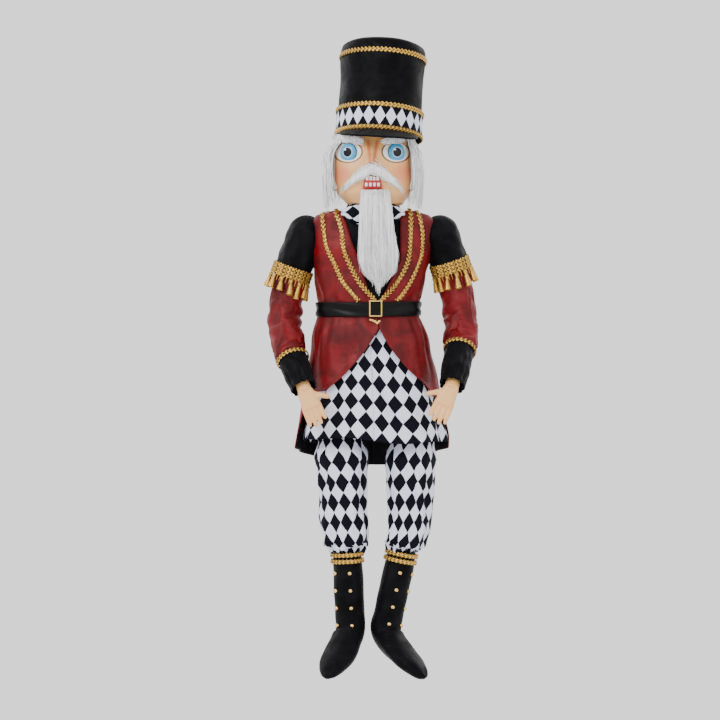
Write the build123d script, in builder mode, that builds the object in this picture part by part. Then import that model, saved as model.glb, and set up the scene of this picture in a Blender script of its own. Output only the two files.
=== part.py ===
from build123d import *
from math import acos, cos, degrees, radians, sin
import os

# A soft-bodied toy-soldier doll, hung upright and held round the waist.
# Millimetres. +Z is up, the doll faces -Y, and its own left arm is on +X.
# The origin is the middle of the waist, behind the belt buckle.

os.makedirs("parts", exist_ok=True)

# ---------------------------------------------------------------- driving dimensions
CLOTH = 1.6            # thickness of a cloth layer
COAT_CLOTH = 2.0       # the coat's velvet is thicker
LAYER_GAP = 0.4        # air between one layer of cloth and the next
SKIRT_GAP = 2.4        # the coat skirts stand off the tunic
BELT_THICK = 2.0
BRAID_WIDTH = 6.8
BRAID_THICK = 1.6

SIDES = {"left": 1, "right": -1}

NECK = Vector(0, 4, 140)             # ball of the neck plug
NECK_BALL = 18
NECK_RADIUS = 16

SHOULDER_X, SHOULDER_Z = 104, 117
ARM_BALL = 28                        # outside of the sleeve's round top
UPPER_ARM = 137                      # shoulder to elbow
FOREARM = 148                        # elbow to wrist
UPPER_ARM_LEAN = {"left": Vector(0.31, 0.13, -0.94), "right": Vector(-0.34, 0.06, -0.94)}
FOREARM_LEAN = {"left": Vector(-0.18, -0.66, -0.73), "right": Vector(0.31, -0.58, -0.76)}
HAND_LEAN = {"left": Vector(-0.41, -0.20, -0.89), "right": Vector(0.38, -0.16, -0.91)}
FRINGE_AT = {"left": 46, "right": 57}     # top of the fringe band below the shoulder
CUFF_AT = {"left": 70, "right": 88}       # end of the red sleeve below the elbow
BOOT_BRAIDS_AT = (43, 53)                 # below the knee

HIP = {"left": Vector(50, 0, -182), "right": Vector(-40, 0, -182)}
KNEE = {"left": Vector(54, -4, -334), "right": Vector(-42, -4, -334)}
ANKLE = {"left": Vector(20, 0, -494), "right": Vector(-35, 0, -492)}
FOOT_LEAN = {"left": Vector(0.55, -0.70, -0.45), "right": Vector(-0.33, -0.82, -0.45)}
FOOT_LENGTH = 118                    # ankle to toe tip
LEG_RADIUS = 22
TROUSER_TOP = {"left": Vector(63, 0, -160), "right": Vector(-50, 0, -160)}
# Trouser radius at distances down the leg, above the gathered ankle.
TROUSER_GIRTH = {
    "left": [(32, 0), (36, 25), (42, 62), (41, 100), (34, 150)],
    "right": [(34, 0), (39, 25), (45, 60), (42, 90), (34, 140)],
}

# Torso sections from the seat up to the neck: height, half width, half depth, sideways shift.
TORSO = [
    (-155, 72, 38, 2), (-120, 79, 42, 0), (-60, 77, 42, -4), (0, 71, 39, -7), (50, 85, 46, -2),
    (75, 81, 45, 0), (95, 75, 42, 0), (125, 74, 39, 0), (136, 66, 35, 0), (143, 48, 28, 0), (146, 34, 23, 0),
]
# Skirt sections from the tail hem up to the waist, measured at the tunic's inner face.
SKIRT = [
    (-242, 105, 60, 2), (-201, 102, 58, 2), (-160, 98, 57, 1), (-110, 91, 53, -1), (-60, 82, 48, -4),
    (-12, 76, 43.5, -6.5),
]
TUNIC_HEM = -201
COAT_FRONT_HEM = -140
CUTAWAY_SLOPE = 0.6    # sideways run of the coat's front edge for each millimetre of fall
LAPEL_LIMIT = 41       # the lapels go straight up once they are this far from the middle
SHOULDER_TOP = 142
TAIL_HEM = -237
WAIST_SEAM = -12
BELT_HEIGHT = 20

# Head sections from chin to crown: height, width, depth, corner radius, sideways and forward shift.
HEAD_X = -2                          # the face's middle line
HEAD = [
    (157, 64, 76, 28, 3, -8), (163, 88, 92, 36, 3, -6), (178, 112, 108, 42, 1, -4), (200, 124, 116, 44, 0, -2),
    (240, 122, 118, 44, -1, -1), (262, 106, 106, 46, 3, 0), (285, 92, 90, 44, 7, 0), (300, 60, 58, 28, 8, 0),
]
FACE_Y = -60
EYE_X, EYE_Z, EYE_RADIUS = 36, 241, 13.5

HAT_BASE = Vector(9, 0, 272)
HAT_LEAN = Vector(0.06, 0.15, 1)     # the hat sits back and a little to the doll's left
HAT_RADIUS = 66
HAT_HEIGHT = 146
HAT_WALL = 2.5


# ---------------------------------------------------------------- helpers
def save(part, name):
    part.label = name
    export_step(part, f"parts/{name}.step")


def unit(v):
    return v.normalized()


def stacked(sections, grow):
    """Solid through ellipse sections, each grown outwards by the same amount."""
    with BuildPart() as solid:
        for height, half_width, half_depth, shift in sections:
            with BuildSketch(Plane.XY.offset(height)):
                with Locations((shift, 0)):
                    Ellipse(half_width + grow, half_depth + grow)
        loft(ruled=True)
    return solid.part


def section_at(sections, height):
    """Ellipse section at a height between two of the listed ones."""
    for below, above in zip(sections, sections[1:]):
        if below[0] <= height <= above[0]:
            share = (height - below[0]) / (above[0] - below[0])
            return tuple(low + share * (high - low) for low, high in zip(below, above))
    raise ValueError(f"no section at {height}")


def between(sections, low, high):
    inside = [section for section in sections if low + 1 < section[0] < high - 1]
    return [section_at(sections, low), *inside, section_at(sections, high)]


def wrap(sections, inner, outer, span):
    """Layer of cloth round stacked sections. span(section) gives its start angle and its turn."""
    with BuildPart() as cloth:
        for section in sections:
            height, half_width, half_depth, shift = section
            start, turn = span(section)
            with BuildSketch(Plane.XY.offset(height)):
                with BuildLine():
                    centre = (shift, 0)
                    outside = EllipticalCenterArc(centre, half_width + outer, half_depth + outer, start, arc_size=turn)
                    inside = EllipticalCenterArc(centre, half_width + inner, half_depth + inner, start, arc_size=turn)
                    Line(outside @ 0, inside @ 0)
                    Line(outside @ 1, inside @ 1)
                make_face()
        loft(ruled=True)
    return cloth.part


def sewn_round(section):
    """All the way round, from one side of the back seam to the other."""
    return 90.2, 359.6


def along(start, direction, forward=Vector(0, -1, 0)):
    """Plane whose local Y runs along a limb, so that a profile in it can be turned round that limb."""
    axis = unit(direction)
    side = unit(forward.cross(axis))
    return Plane(origin=start, x_dir=side, z_dir=side.cross(axis))


def turned(start, direction, outline):
    """Solid of revolution round a limb. The outline gives (radius, distance along the limb)."""
    with BuildPart() as solid:
        with BuildSketch(along(start, direction)):
            with BuildLine():
                Polyline(*outline, close=True)
            make_face()
        revolve(axis=Axis(start, direction))
    return solid.part


def tube(start, direction, stations, thickness):
    """Open tube round a limb. Stations give (outer radius, distance along the limb)."""
    inner = [(radius - thickness, distance) for radius, distance in reversed(stations)]
    return turned(start, direction, [*stations, *inner])


def ball(centre, radius, mode=Mode.ADD):
    with Locations(centre):
        Sphere(radius, mode=mode)


def dome_outline(radius, centre_at, towards, steps=6):
    """Quarter circle from a limb's side to its axis. towards is +1 along the limb or -1 back."""
    turn = [radians(90 * i / steps) for i in range(steps + 1)]
    return [(radius * cos(a), centre_at + towards * radius * sin(a)) for a in turn]


# ---------------------------------------------------------------- torso and clothes
def shoulder(side):
    return Vector(SIDES[side] * SHOULDER_X, 0, SHOULDER_Z)


def cut_armholes():
    for side in SIDES:
        ball(shoulder(side), ARM_BALL + 3, mode=Mode.SUBTRACT)


def make_torso():
    with BuildPart() as torso_core:
        add(stacked(TORSO, 0))
        cut_armholes()
        ball(NECK, NECK_BALL + 0.5, mode=Mode.SUBTRACT)
        with Locations(NECK + Vector(0, 0, 25)):
            Cylinder(NECK_RADIUS + 5, 50, mode=Mode.SUBTRACT)
    save(torso_core.part, "torso_core")

    bodice_sections = between(TORSO, WAIST_SEAM + 1, SHOULDER_TOP)
    with BuildPart() as shirt:
        add(wrap(bodice_sections, LAYER_GAP, LAYER_GAP + CLOTH, sewn_round))
        cut_armholes()
    save(shirt.part, "shirt_bodice")

    seat_sections = between(TORSO, TORSO[0][0], WAIST_SEAM)
    save(wrap(seat_sections, LAYER_GAP, LAYER_GAP + CLOTH, sewn_round), "trouser_seat")

    tunic_sections = between(SKIRT, TUNIC_HEM, WAIST_SEAM)
    save(wrap(tunic_sections, 0, CLOTH, sewn_round), "tunic_skirt")

    with BuildPart() as neck_plug:
        ball(NECK, NECK_BALL)
        with Locations(NECK + Vector(0, 0, 22)):
            Cylinder(NECK_RADIUS, 44)
    save(neck_plug.part, "neck_plug")


def front_angle(section, x):
    """Angle on an ellipse section of the point on its front that stands at x."""
    height, half_width, half_depth, shift = section
    across = max(-0.99, min(0.99, (x - shift) / half_width))
    return -degrees(acos(across))


def lapel_opening(section):
    """The coat bodice leaves its front open between two lapel edges that meet at the belt."""
    height = section[0]
    left_edge = 9 + 0.48 * max(height - 8, 0) ** 0.93
    right_edge = 1 - 0.44 * max(height - 8, 0) ** 0.97
    start = front_angle(section, min(left_edge, LAPEL_LIMIT))
    end = front_angle(section, max(right_edge, -LAPEL_LIMIT))
    return start, 360 + end - start


def coat_front_span(side):
    """From the cutaway front edge, which runs outwards as it falls, to the side seam."""
    def span(section):
        fall = WAIST_SEAM - section[0]
        if side == "left":
            edge = front_angle(section, 8 + CUTAWAY_SLOPE * fall)
            return edge, -edge - 0.2
        edge = 360 + front_angle(section, 4 - CUTAWAY_SLOPE * fall)
        return 180.2, edge - 180.2
    return span


def coat_tail_span(side):
    """From the side seam to the back vent. Below the fronts, the tail's edge runs towards the back."""
    def span(section):
        cut = 0.2 + 0.45 * max(COAT_FRONT_HEM - section[0], 0)
        turn = 89.6 - cut
        return (cut, turn) if side == "left" else (90.2, turn)
    return span


def make_coat():
    coat_inner = 3 * LAYER_GAP + CLOTH
    coat_outer = coat_inner + COAT_CLOTH
    with BuildPart() as bodice:
        add(wrap(between(TORSO, WAIST_SEAM + 1, SHOULDER_TOP), coat_inner, coat_outer, lapel_opening))
        cut_armholes()
    save(bodice.part, "coat_bodice")

    skirt_inner = CLOTH + SKIRT_GAP
    for side in SIDES:
        front_sections = between(SKIRT, COAT_FRONT_HEM, WAIST_SEAM)
        front = wrap(front_sections, skirt_inner, skirt_inner + COAT_CLOTH, coat_front_span(side))
        save(front, f"{side}_coat_front")
        tail_sections = between(SKIRT, TAIL_HEM, WAIST_SEAM)
        tail = wrap(tail_sections, skirt_inner, skirt_inner + COAT_CLOTH + 1, coat_tail_span(side))
        save(tail, f"{side}_coat_tail")

    braid_inner = coat_outer + 0.3
    braid_runs = [
        [(-80, 150), (-67, 101), (-57, 71), (-46, 39), (-22, 12)],
        [(-55, 156), (-46, 107), (-35, 71), (-16, 37), (-3, 14)],
        [(55, 150), (54, 94), (48, 57), (31, 32), (15, 14)],
        [(66, 150), (73, 110), (71, 82), (60, 46), (42, 21), (32, 12)],
    ]
    with BuildPart() as braids:
        with BuildSketch(Plane.XZ):
            for run in braid_runs:
                with BuildLine():
                    Spline(*run)
                trace(line_width=BRAID_WIDTH)
        extrude(amount=100)
        add(wrap(between(TORSO, 11, 140), braid_inner, braid_inner + BRAID_THICK, lambda section: (180, 180)),
            mode=Mode.INTERSECT)
        cut_armholes()
    save(braids.part, "lapel_braids")

    belt_sections = between(TORSO, -BELT_HEIGHT / 2, BELT_HEIGHT / 2)
    save(wrap(belt_sections, braid_inner, braid_inner + BELT_THICK, sewn_round), "belt")

    front_of_belt = section_at(TORSO, 0)[2] + braid_inner + BELT_THICK
    with BuildPart() as buckle:
        with BuildSketch(Plane.XZ.offset(front_of_belt + 4.4)):
            with Locations((4, 0)):
                RectangleRounded(20, 27, 2.5)
                RectangleRounded(14.5, 21.5, 1, mode=Mode.SUBTRACT)
                Rectangle(2.2, 24)
        extrude(amount=2.4)
    save(buckle.part, "belt_buckle")

    knot = Vector(0, -50, 137)
    with BuildPart() as bow:
        with Locations(knot):
            Box(12, 8, 13)
        for hand in (-1, 1):
            for reach, width, height in ((5, 6, 10), (40, 5, 20)):
                with BuildSketch(Plane(origin=knot + Vector(hand * reach, 0, 0), x_dir=(0, 1, 0),
                                       z_dir=(hand, 0, 0))):
                    RectangleRounded(width, height, 2)
            loft()
    save(bow.part, "bow_tie")


# ---------------------------------------------------------------- head and hat
def head_solid():
    with BuildPart() as solid:
        for height, width, depth, corner, sideways, forward in HEAD:
            with BuildSketch(Plane.XY.offset(height)):
                with Locations((sideways, forward)):
                    RectangleRounded(width, depth, corner)
        loft()
    return solid.part


def eye_plane(hand):
    outward = unit(Vector(hand * 0.34, -1, 0))
    return Plane(origin=(HEAD_X + hand * EYE_X, FACE_Y + 6.5, EYE_Z), x_dir=(0, 0, 1), z_dir=outward)


def hat_plane(height):
    base = Plane(origin=HAT_BASE, x_dir=(1, 0, 0), z_dir=unit(HAT_LEAN))
    return base.offset(height)


def hat_ring(low, high, inner, thickness):
    with BuildPart() as ring:
        with BuildSketch(hat_plane(low)):
            Circle(inner + thickness)
            Circle(inner, mode=Mode.SUBTRACT)
        extrude(amount=high - low)
    return ring.part


def tuft(start, end, start_radius, end_radius):
    """Tapered lock of fur, or a finger, with round ends."""
    run = end - start
    with BuildPart() as lock:
        ball(start, start_radius)
        ball(end, end_radius)
        with BuildSketch(Plane(origin=start, z_dir=run)):
            Circle(start_radius)
        with BuildSketch(Plane(origin=end, z_dir=run)):
            Circle(end_radius)
        loft()
    return lock.part


def make_head():
    with BuildPart() as head_shell:
        add(head_solid())
        with Locations(NECK + Vector(0, 0, 24)):
            Cylinder(NECK_RADIUS + 0.4, 44, mode=Mode.SUBTRACT)
        for hand in (-1, 1):
            with BuildSketch(eye_plane(hand)):
                Circle(EYE_RADIUS + 0.2)
            extrude(amount=20, mode=Mode.SUBTRACT)
        with Locations((HEAD_X, FACE_Y, 194)):
            Box(30, 4, 20, mode=Mode.SUBTRACT)
    save(head_shell.part, "head_shell")

    for side, hand in SIDES.items():
        front = eye_plane(hand)
        depth = 4
        bulge = 5
        dome = (EYE_RADIUS**2 + bulge**2) / (2 * bulge)
        with BuildPart() as eye:
            with BuildSketch(front):
                Circle(EYE_RADIUS)
            extrude(amount=depth + bulge)
            with Locations(front.offset(depth + bulge - dome).origin):
                Sphere(dome, mode=Mode.INTERSECT)
        save(eye.part, f"{side}_eye")

    with BuildPart() as teeth:
        with Locations((HEAD_X, FACE_Y, 194)):
            Box(29.6, 3.6, 19.6)
        fillet(teeth.edges().filter_by(Axis.Y), 4)
    save(teeth.part, "teeth_plate")

    with BuildPart() as moustache:
        for hand in (-1, 1):
            add(tuft(Vector(HEAD_X + hand * 4, -71, 213), Vector(HEAD_X + hand * 47, -64, 184), 6.5, 3.5))
    save(moustache.part, "moustache")

    with BuildPart() as eyebrows:
        for hand in (-1, 1):
            add(tuft(Vector(HEAD_X + hand * 17, -66, 255), Vector(HEAD_X + hand * 56, -53, 262), 3.5, 4.5))
    save(eyebrows.part, "eyebrows")

    beard_sections = [(183, 42, 8, -67), (150, 48, 12, -68), (105, 56, 14, -67), (60, 50, 12, -65),
                      (34, 26, 8, -63), (19, 8, 4, -61)]
    with BuildPart() as beard:
        for height, width, depth, y in beard_sections:
            with BuildSketch(Plane.XY.offset(height)):
                with Locations((4 if height < 100 else HEAD_X + 2, y)):
                    Ellipse(width / 2, depth / 2)
        loft()
    save(beard.part, "beard")

    hair_sections = [(160, 75, 67, 4), (185, 77, 69, 4), (225, 76, 69, 4), (250, 72, 67, 4)]
    save(wrap(hair_sections, 0, 7, lambda section: (-28, 236)), "wig")


def make_hat():
    with BuildPart() as crown:
        with BuildSketch(hat_plane(0)):
            Circle(HAT_RADIUS)
        with BuildSketch(hat_plane(HAT_HEIGHT / 2)):
            Circle(HAT_RADIUS - 2)
        with BuildSketch(hat_plane(HAT_HEIGHT)):
            Circle(HAT_RADIUS - 1)
        loft()
        fillet(crown.edges().group_by(Axis.Z)[-1], 14)
        bottom = crown.faces().sort_by(Axis.Z)[0]
        offset(amount=-HAT_WALL, openings=bottom)
    save(crown.part, "hat_crown")

    ring = HAT_RADIUS + 0.5
    with BuildPart() as band:
        add(hat_ring(6.5, 31.5, ring, 1.2))
    save(band.part, "hat_band")

    with BuildPart() as braids:
        for low, inner in ((-0.8, ring), (32, ring), (118, ring)):
            add(hat_ring(low, low + BRAID_WIDTH, inner, BRAID_THICK))
    save(braids.part, "hat_braids")

    slant = hat_plane(0)
    inner, outer, drop, thick = HAT_RADIUS + 2.6, HAT_RADIUS + 32, 20, 2.2
    with BuildPart() as visor:
        with BuildSketch(Plane(origin=slant.origin, x_dir=slant.x_dir, z_dir=-slant.y_dir)):
            with BuildLine():
                Polyline((inner, 1), (outer, 1 - drop), (outer, 1 - drop - thick), (inner, 1 - thick), close=True)
            make_face()
        revolve(axis=Axis(slant.origin, slant.z_dir))
        with BuildSketch(slant.offset(-40)):
            with Locations((0, -42)):
                Circle(51)
        extrude(amount=60, mode=Mode.INTERSECT)
    save(visor.part, "hat_visor")


# ---------------------------------------------------------------- arms
def make_arm(side):
    top = shoulder(side)
    upper = unit(UPPER_ARM_LEAN[side])
    lower = unit(FOREARM_LEAN[side])
    elbow = top + upper * UPPER_ARM
    wrist = elbow + lower * FOREARM
    inward = Vector(-SIDES[side], 0, 0)

    cup = [(ARM_BALL + 0.9, angle) for angle in (0, 15, 30)] + [(ARM_BALL + 2.6, angle) for angle in (30, 15, 0)]
    disc = turned(top, inward, [(radius * sin(radians(a)), radius * cos(radians(a))) for radius, a in cup])
    save(disc, f"{side}_shoulder_disc")

    fringe_at, cuff_at = FRINGE_AT[side], CUFF_AT[side]
    core_radius = ARM_BALL - 2.2
    round_top = list(reversed(dome_outline(core_radius, 0, -1, 10)))
    with BuildPart() as upper_core:
        add(turned(top, upper, [*round_top, (21.5, 34), (21.5, 80), (16, 100),
                                *dome_outline(14, UPPER_ARM - 28, 1)]))
    save(upper_core.part, f"{side}_upper_arm_core")

    outer_top = list(reversed(dome_outline(ARM_BALL, 0, -1, 12)))
    inner_top = dome_outline(ARM_BALL - CLOTH, 0, -1, 12)
    with BuildPart() as sleeve:
        add(turned(top, upper, [*outer_top, (ARM_BALL - 0.5, fringe_at + 3),
                                (ARM_BALL - 0.5 - CLOTH, fringe_at + 3), *inner_top]))
    save(sleeve.part, f"{side}_shoulder_sleeve")

    with BuildPart() as fringe_band:
        add(tube(top, upper, [(ARM_BALL + 2.2, fringe_at), (ARM_BALL + 2.2, fringe_at + 17)], 1.8))
    save(fringe_band.part, f"{side}_fringe_band")

    tassel_count = 12
    hang = along(top, upper)
    ring = Plane(origin=top + upper * (fringe_at + 18), x_dir=hang.x_dir, z_dir=upper)
    with BuildPart() as tassels:
        with Locations(ring):
            with PolarLocations(ARM_BALL + 1.4, tassel_count):
                Cone(1.6, 3.6, 24, align=(Align.CENTER, Align.CENTER, Align.MIN))
    save(tassels.part, f"{side}_fringe_tassels")

    sleeve_start = top + upper * (fringe_at + 4)
    with BuildPart() as red_sleeve:
        with BuildLine():
            FilletPolyline(sleeve_start, elbow, elbow + lower * cuff_at, radius=36)
        with BuildSketch(Plane(origin=sleeve_start, z_dir=upper)):
            Circle(24.6)
            Circle(23, mode=Mode.SUBTRACT)
        sweep()
    save(red_sleeve.part, f"{side}_red_sleeve")

    fore_start = dome_outline(14, 28, -1)
    with BuildPart() as fore_core:
        add(turned(elbow, lower, [*reversed(fore_start), (19, 46), (18, 100), (17, 118), (0, 118)]))
    save(fore_core.part, f"{side}_forearm_core")

    with BuildPart() as cuff:
        add(tube(elbow, lower, [(22.5, cuff_at + 2), (21.5, 118), (19, FOREARM)], CLOTH))
    save(cuff.part, f"{side}_cuff")

    with BuildPart() as cuff_braid:
        add(tube(elbow, lower, [(26.6, cuff_at - 4), (26.6, cuff_at - 4 + BRAID_WIDTH)], BRAID_THICK))
    save(cuff_braid.part, f"{side}_cuff_braid")

    make_hand(side, elbow, lower, wrist)


def make_hand(side, elbow, lower, wrist):
    reach = unit(HAND_LEAN[side])
    thumb_side = unit(Vector(-SIDES[side], 0, 0) - reach * Vector(-SIDES[side], 0, 0).dot(reach))
    palm_width, palm_length, palm_thick = 31, 30, 13
    palm_plane = Plane(origin=wrist + reach * 2, x_dir=thumb_side, z_dir=reach)
    with BuildPart() as hand:
        with BuildSketch(palm_plane):
            RectangleRounded(24, 15, 7)
        with BuildSketch(palm_plane.offset(palm_length)):
            RectangleRounded(palm_width, palm_thick, 6)
        loft()
        add(turned(wrist, lower, [(0, -26), (11, -26), (11, 6), (0, 6)]))
        for number, length in enumerate((24, 29, 31, 27)):
            across = (number - 1.5) * 7.8
            root = wrist + reach * (palm_length - 2) + thumb_side * -across
            tip = root + reach * length + thumb_side * (-across * 0.12)
            add(tuft(root, tip, 4.2, 3.3))
        thumb_root = wrist + reach * 12 + thumb_side * 10
        thumb_tip = thumb_root + thumb_side * 19 + reach * 12
        add(tuft(thumb_root, thumb_tip, 5, 3.7))
    save(hand.part, f"{side}_hand")


# ---------------------------------------------------------------- legs
def make_leg(side):
    hip, knee, ankle = HIP[side], KNEE[side], ANKLE[side]
    thigh = knee - hip
    shin = ankle - knee
    thigh_length = thigh.length
    shin_length = shin.length

    with BuildPart() as button:
        with Locations(hip + Vector(0, 0, LEG_RADIUS + 3)):
            Cylinder(6, 1.2)
    save(button.part, f"{side}_hip_button")

    round_top = list(reversed(dome_outline(LEG_RADIUS, 0, -1, 8)))
    with BuildPart() as thigh_core:
        add(turned(hip, thigh, [*round_top, (LEG_RADIUS - 1, thigh_length - 35),
                                *dome_outline(16, thigh_length - 24, 1)]))
    save(thigh_core.part, f"{side}_thigh_core")

    bag_top = TROUSER_TOP[side]
    bag = knee + unit(shin) * (BOOT_BRAIDS_AT[0] - 4) - bag_top
    stations = [*TROUSER_GIRTH[side], (33, bag.length - 26), (27, bag.length - 4), (27, bag.length)]
    with BuildPart() as trouser_leg:
        add(tube(bag_top, bag, stations, CLOTH))
    save(trouser_leg.part, f"{side}_trouser_leg")

    with BuildPart() as boot_shaft:
        add(turned(knee, shin, [*reversed(dome_outline(16, 24, -1)), (LEG_RADIUS, 36), (LEG_RADIUS + 0.5, 60),
                                (LEG_RADIUS, shin_length - 34), *dome_outline(16, shin_length - 20, 1)]))
    save(boot_shaft.part, f"{side}_boot_shaft")

    with BuildPart() as boot_braids:
        for low in BOOT_BRAIDS_AT:
            add(tube(knee, shin, [(LEG_RADIUS + 2.4, low), (LEG_RADIUS + 2.4, low + BRAID_WIDTH)], BRAID_THICK))
    save(boot_braids.part, f"{side}_boot_braids")

    toe = unit(FOOT_LEAN[side])
    up_leg = unit(shin) * -1
    across = unit(up_leg.cross(toe))
    front = unit(across.cross(up_leg)) * (-1 if across.cross(up_leg).dot(toe) < 0 else 1)
    with BuildPart() as studs:
        for row in range(4):
            for turn in (-32, 32):
                out = front * cos(radians(turn)) + across * sin(radians(turn))
                at = knee + unit(shin) * (69 + 20 * row) + out * (LEG_RADIUS + 0.9)
                with BuildSketch(Plane(origin=at, z_dir=out)):
                    Circle(4)
                extrude(amount=2.6, taper=30)
    save(studs.part, f"{side}_boot_studs")

    make_foot(side, ankle, toe, across, up_leg)


def make_foot(side, ankle, toe, across, up_leg):
    instep = unit(toe.cross(across))
    instep = instep * (1 if instep.dot(up_leg) > 0 else -1)
    # distance from the ankle, half width, half height, sink below the ankle line
    stations = [(-16, 10, 9, 8), (-6, 17, 16, 9), (20, 21, 19, 10), (50, 27, 16, 13), (82, 25, 13, 15),
                (104, 18, 9, 17), (FOOT_LENGTH, 7, 4, 18)]
    with BuildPart() as foot:
        for distance, half_width, half_height, sink in stations:
            centre = ankle + toe * distance - instep * sink
            with BuildSketch(Plane(origin=centre, x_dir=across, z_dir=toe)):
                Ellipse(half_width, half_height)
        loft()
        split(bisect_by=Plane(origin=ankle, z_dir=up_leg), keep=Keep.BOTTOM)
    save(foot.part, f"{side}_boot_foot")


make_torso()
make_coat()
make_head()
make_hat()
for each_side in SIDES:
    make_arm(each_side)
    make_leg(each_side)
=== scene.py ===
"""Finishes the soldier doll: cloth, fur, braid, paint and light over the CAD frame."""
import math
import random
from math import acos, cos, pi, radians, sin, tau

import bmesh
import bpy
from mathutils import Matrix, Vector, noise


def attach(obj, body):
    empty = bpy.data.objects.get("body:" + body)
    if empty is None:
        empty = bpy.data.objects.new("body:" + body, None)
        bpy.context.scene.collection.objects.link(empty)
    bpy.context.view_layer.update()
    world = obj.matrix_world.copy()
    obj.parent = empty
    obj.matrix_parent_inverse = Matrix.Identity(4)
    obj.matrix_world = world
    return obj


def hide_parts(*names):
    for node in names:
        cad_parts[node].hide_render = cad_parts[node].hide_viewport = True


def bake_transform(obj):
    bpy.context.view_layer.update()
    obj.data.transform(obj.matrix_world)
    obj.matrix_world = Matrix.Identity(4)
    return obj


bl_info = {
    "name": "Soldier doll finish",
    "version": (1, 0, 0),
    "blender": (4, 2, 0),
    "location": "View3D > Sidebar > Soldier doll",
    "description": "Cloth, fur, braid and paint for a posable soldier doll",
    "category": "Object",
}

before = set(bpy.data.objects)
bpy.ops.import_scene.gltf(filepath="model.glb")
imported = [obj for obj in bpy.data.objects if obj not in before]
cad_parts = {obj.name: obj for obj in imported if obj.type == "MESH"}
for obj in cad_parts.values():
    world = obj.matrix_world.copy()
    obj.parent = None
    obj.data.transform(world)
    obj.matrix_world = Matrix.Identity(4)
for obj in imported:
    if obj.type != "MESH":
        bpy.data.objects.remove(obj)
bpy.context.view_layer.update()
MM = 0.001
BACKWARD = Vector((0, 1, 0))

# ---------------------------------------------------------------- the frame's dimensions, in millimetres
SIDES = {"left": 1, "right": -1}
SHOULDER_X, SHOULDER_Z = 104, 117
ARM_RADIUS = 28
UPPER_ARM = 137
UPPER_LEAN = {"left": Vector((0.31, 0.13, -0.94)), "right": Vector((-0.34, 0.06, -0.94))}
FORE_LEAN = {"left": Vector((-0.18, -0.66, -0.73)), "right": Vector((0.31, -0.58, -0.76))}
FRINGE_AT = {"left": 46, "right": 57}
CUFF_AT = {"left": 70, "right": 88}
BOOT_BRAIDS_AT = (43, 53)
KNEE = {"left": Vector((54, -4, -334)), "right": Vector((-42, -4, -334))}
ANKLE = {"left": Vector((20, 0, -494)), "right": Vector((-35, 0, -492))}
TROUSER_TOP = {"left": Vector((62, 0, -172)), "right": Vector((-50, 0, -172))}
# Share of the way from the top of the trouser leg to its end, and the radius there.
TROUSER_GIRTH = {
    "left": [(0, 30), (0.14, 36), (0.28, 43), (0.45, 41), (0.62, 34), (0.80, 32), (0.90, 32), (0.965, 27),
             (1, 23)],
    "right": [(0, 32), (0.14, 38), (0.27, 47), (0.42, 42), (0.60, 36), (0.78, 37), (0.90, 34), (0.965, 27),
              (1, 23)],
}
TROUSER_KNEE, BELOW_KNEE = 0.80, 0.20
# Boot sections: distance down the shin, half width, half depth; and distance along the foot, half width,
# half height, sink below the ankle.
BOOT_SHAFT = [(32, 19, 19), (50, 22, 22), (80, 23, 23), (110, 23, 23), (138, 23, 23.5)]
BOOT_FOOT = [(2, 23, 25, 3), (24, 25, 21, 10), (50, 28, 17, 14), (78, 26, 14, 16), (98, 20, 10.5, 17),
             (111, 12, 7, 18), (118, 4, 3, 18)]
FOOT_LEAN = {"left": Vector((0.55, -0.70, -0.45)), "right": Vector((-0.33, -0.82, -0.45))}
HAT_BASE = Vector((9, 0, 272))
HAT_LEAN = Vector((0.06, 0.15, 1)).normalized()
# Heights on the hat with the radius there.
HAT_WALL = [(-7, 66), (10, 66), (40, 65), (90, 64.5), (125, 66), (136, 65)]
HAT_BAND = [(-1, 67.3), (29, 66.8)]
HAT_BRAIDS = [(-4, 67.6), (32, 67.1), (118, 66.9)]
HAIR_TOP = 268
FACE_X, EYE_Z = -2, 241
EYE_SPREAD = {"left": 37, "right": -36}
EYE_RADIUS, EYE_BULGE = 14.2, 4.2
LOCKS = {"beard": 2300, "moustache": 1500, "eyebrow": 1300}
BEARD_HALF_WIDTH = [(17, 2), (38, 13), (56, 25), (80, 29), (123, 25), (183, 21)]
BEARD_MIDDLE = [(17, 8), (56, 9), (84, 8), (123, 5), (183, 3)]
BRAID = 6.8
ARM_BRAID_RADIUS, CUFF_BRAID_RADIUS, BOOT_BRAID_RADIUS = 30.4, 24.2, 24.6
STUD_ROWS, FIRST_STUD, STUD_STEP, STUD_RADIUS = 4, 74, 27, 3.4

# Coat sections: height, half width, half depth, sideways shift.
COAT = [
    (-14, 77, 46, -7), (14, 78, 47, -7), (50, 87, 51, -4), (91, 94, 51, -2), (118, 100, 47, 0),
    (134, 101, 43, 0), (145, 89, 40, 0), (152, 66, 35, 2), (157, 47, 31, 3),
]
# Across and up, along each lapel braid.
LAPEL_BRAIDS = [
    [(-77, 151), (-70, 105), (-58, 71), (-46, 42), (-22, 12)],
    [(-56, 154), (-47, 118), (-41, 82), (-22, 42), (4, 12)],
    [(55, 154), (56, 112), (52, 72), (34, 38), (12, 12)],
    [(67, 151), (75, 110), (71, 78), (54, 40), (34, 12)],
]
# Skirt sections, in the coat's columns.
SKIRT = [
    (-242, 106, 62, 2), (-201, 103, 60, 2), (-160, 99, 58, 1), (-110, 92, 54, -1), (-60, 84, 50, -4),
    (-8, 77, 46, -6.5),
]
SKIRT_TOP, BELT_BOTTOM = -8, -11
TUNIC_HEM, TAIL_HEM = -203, -215
FRONT_HEM = {"left": -148, "right": -134}
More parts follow.
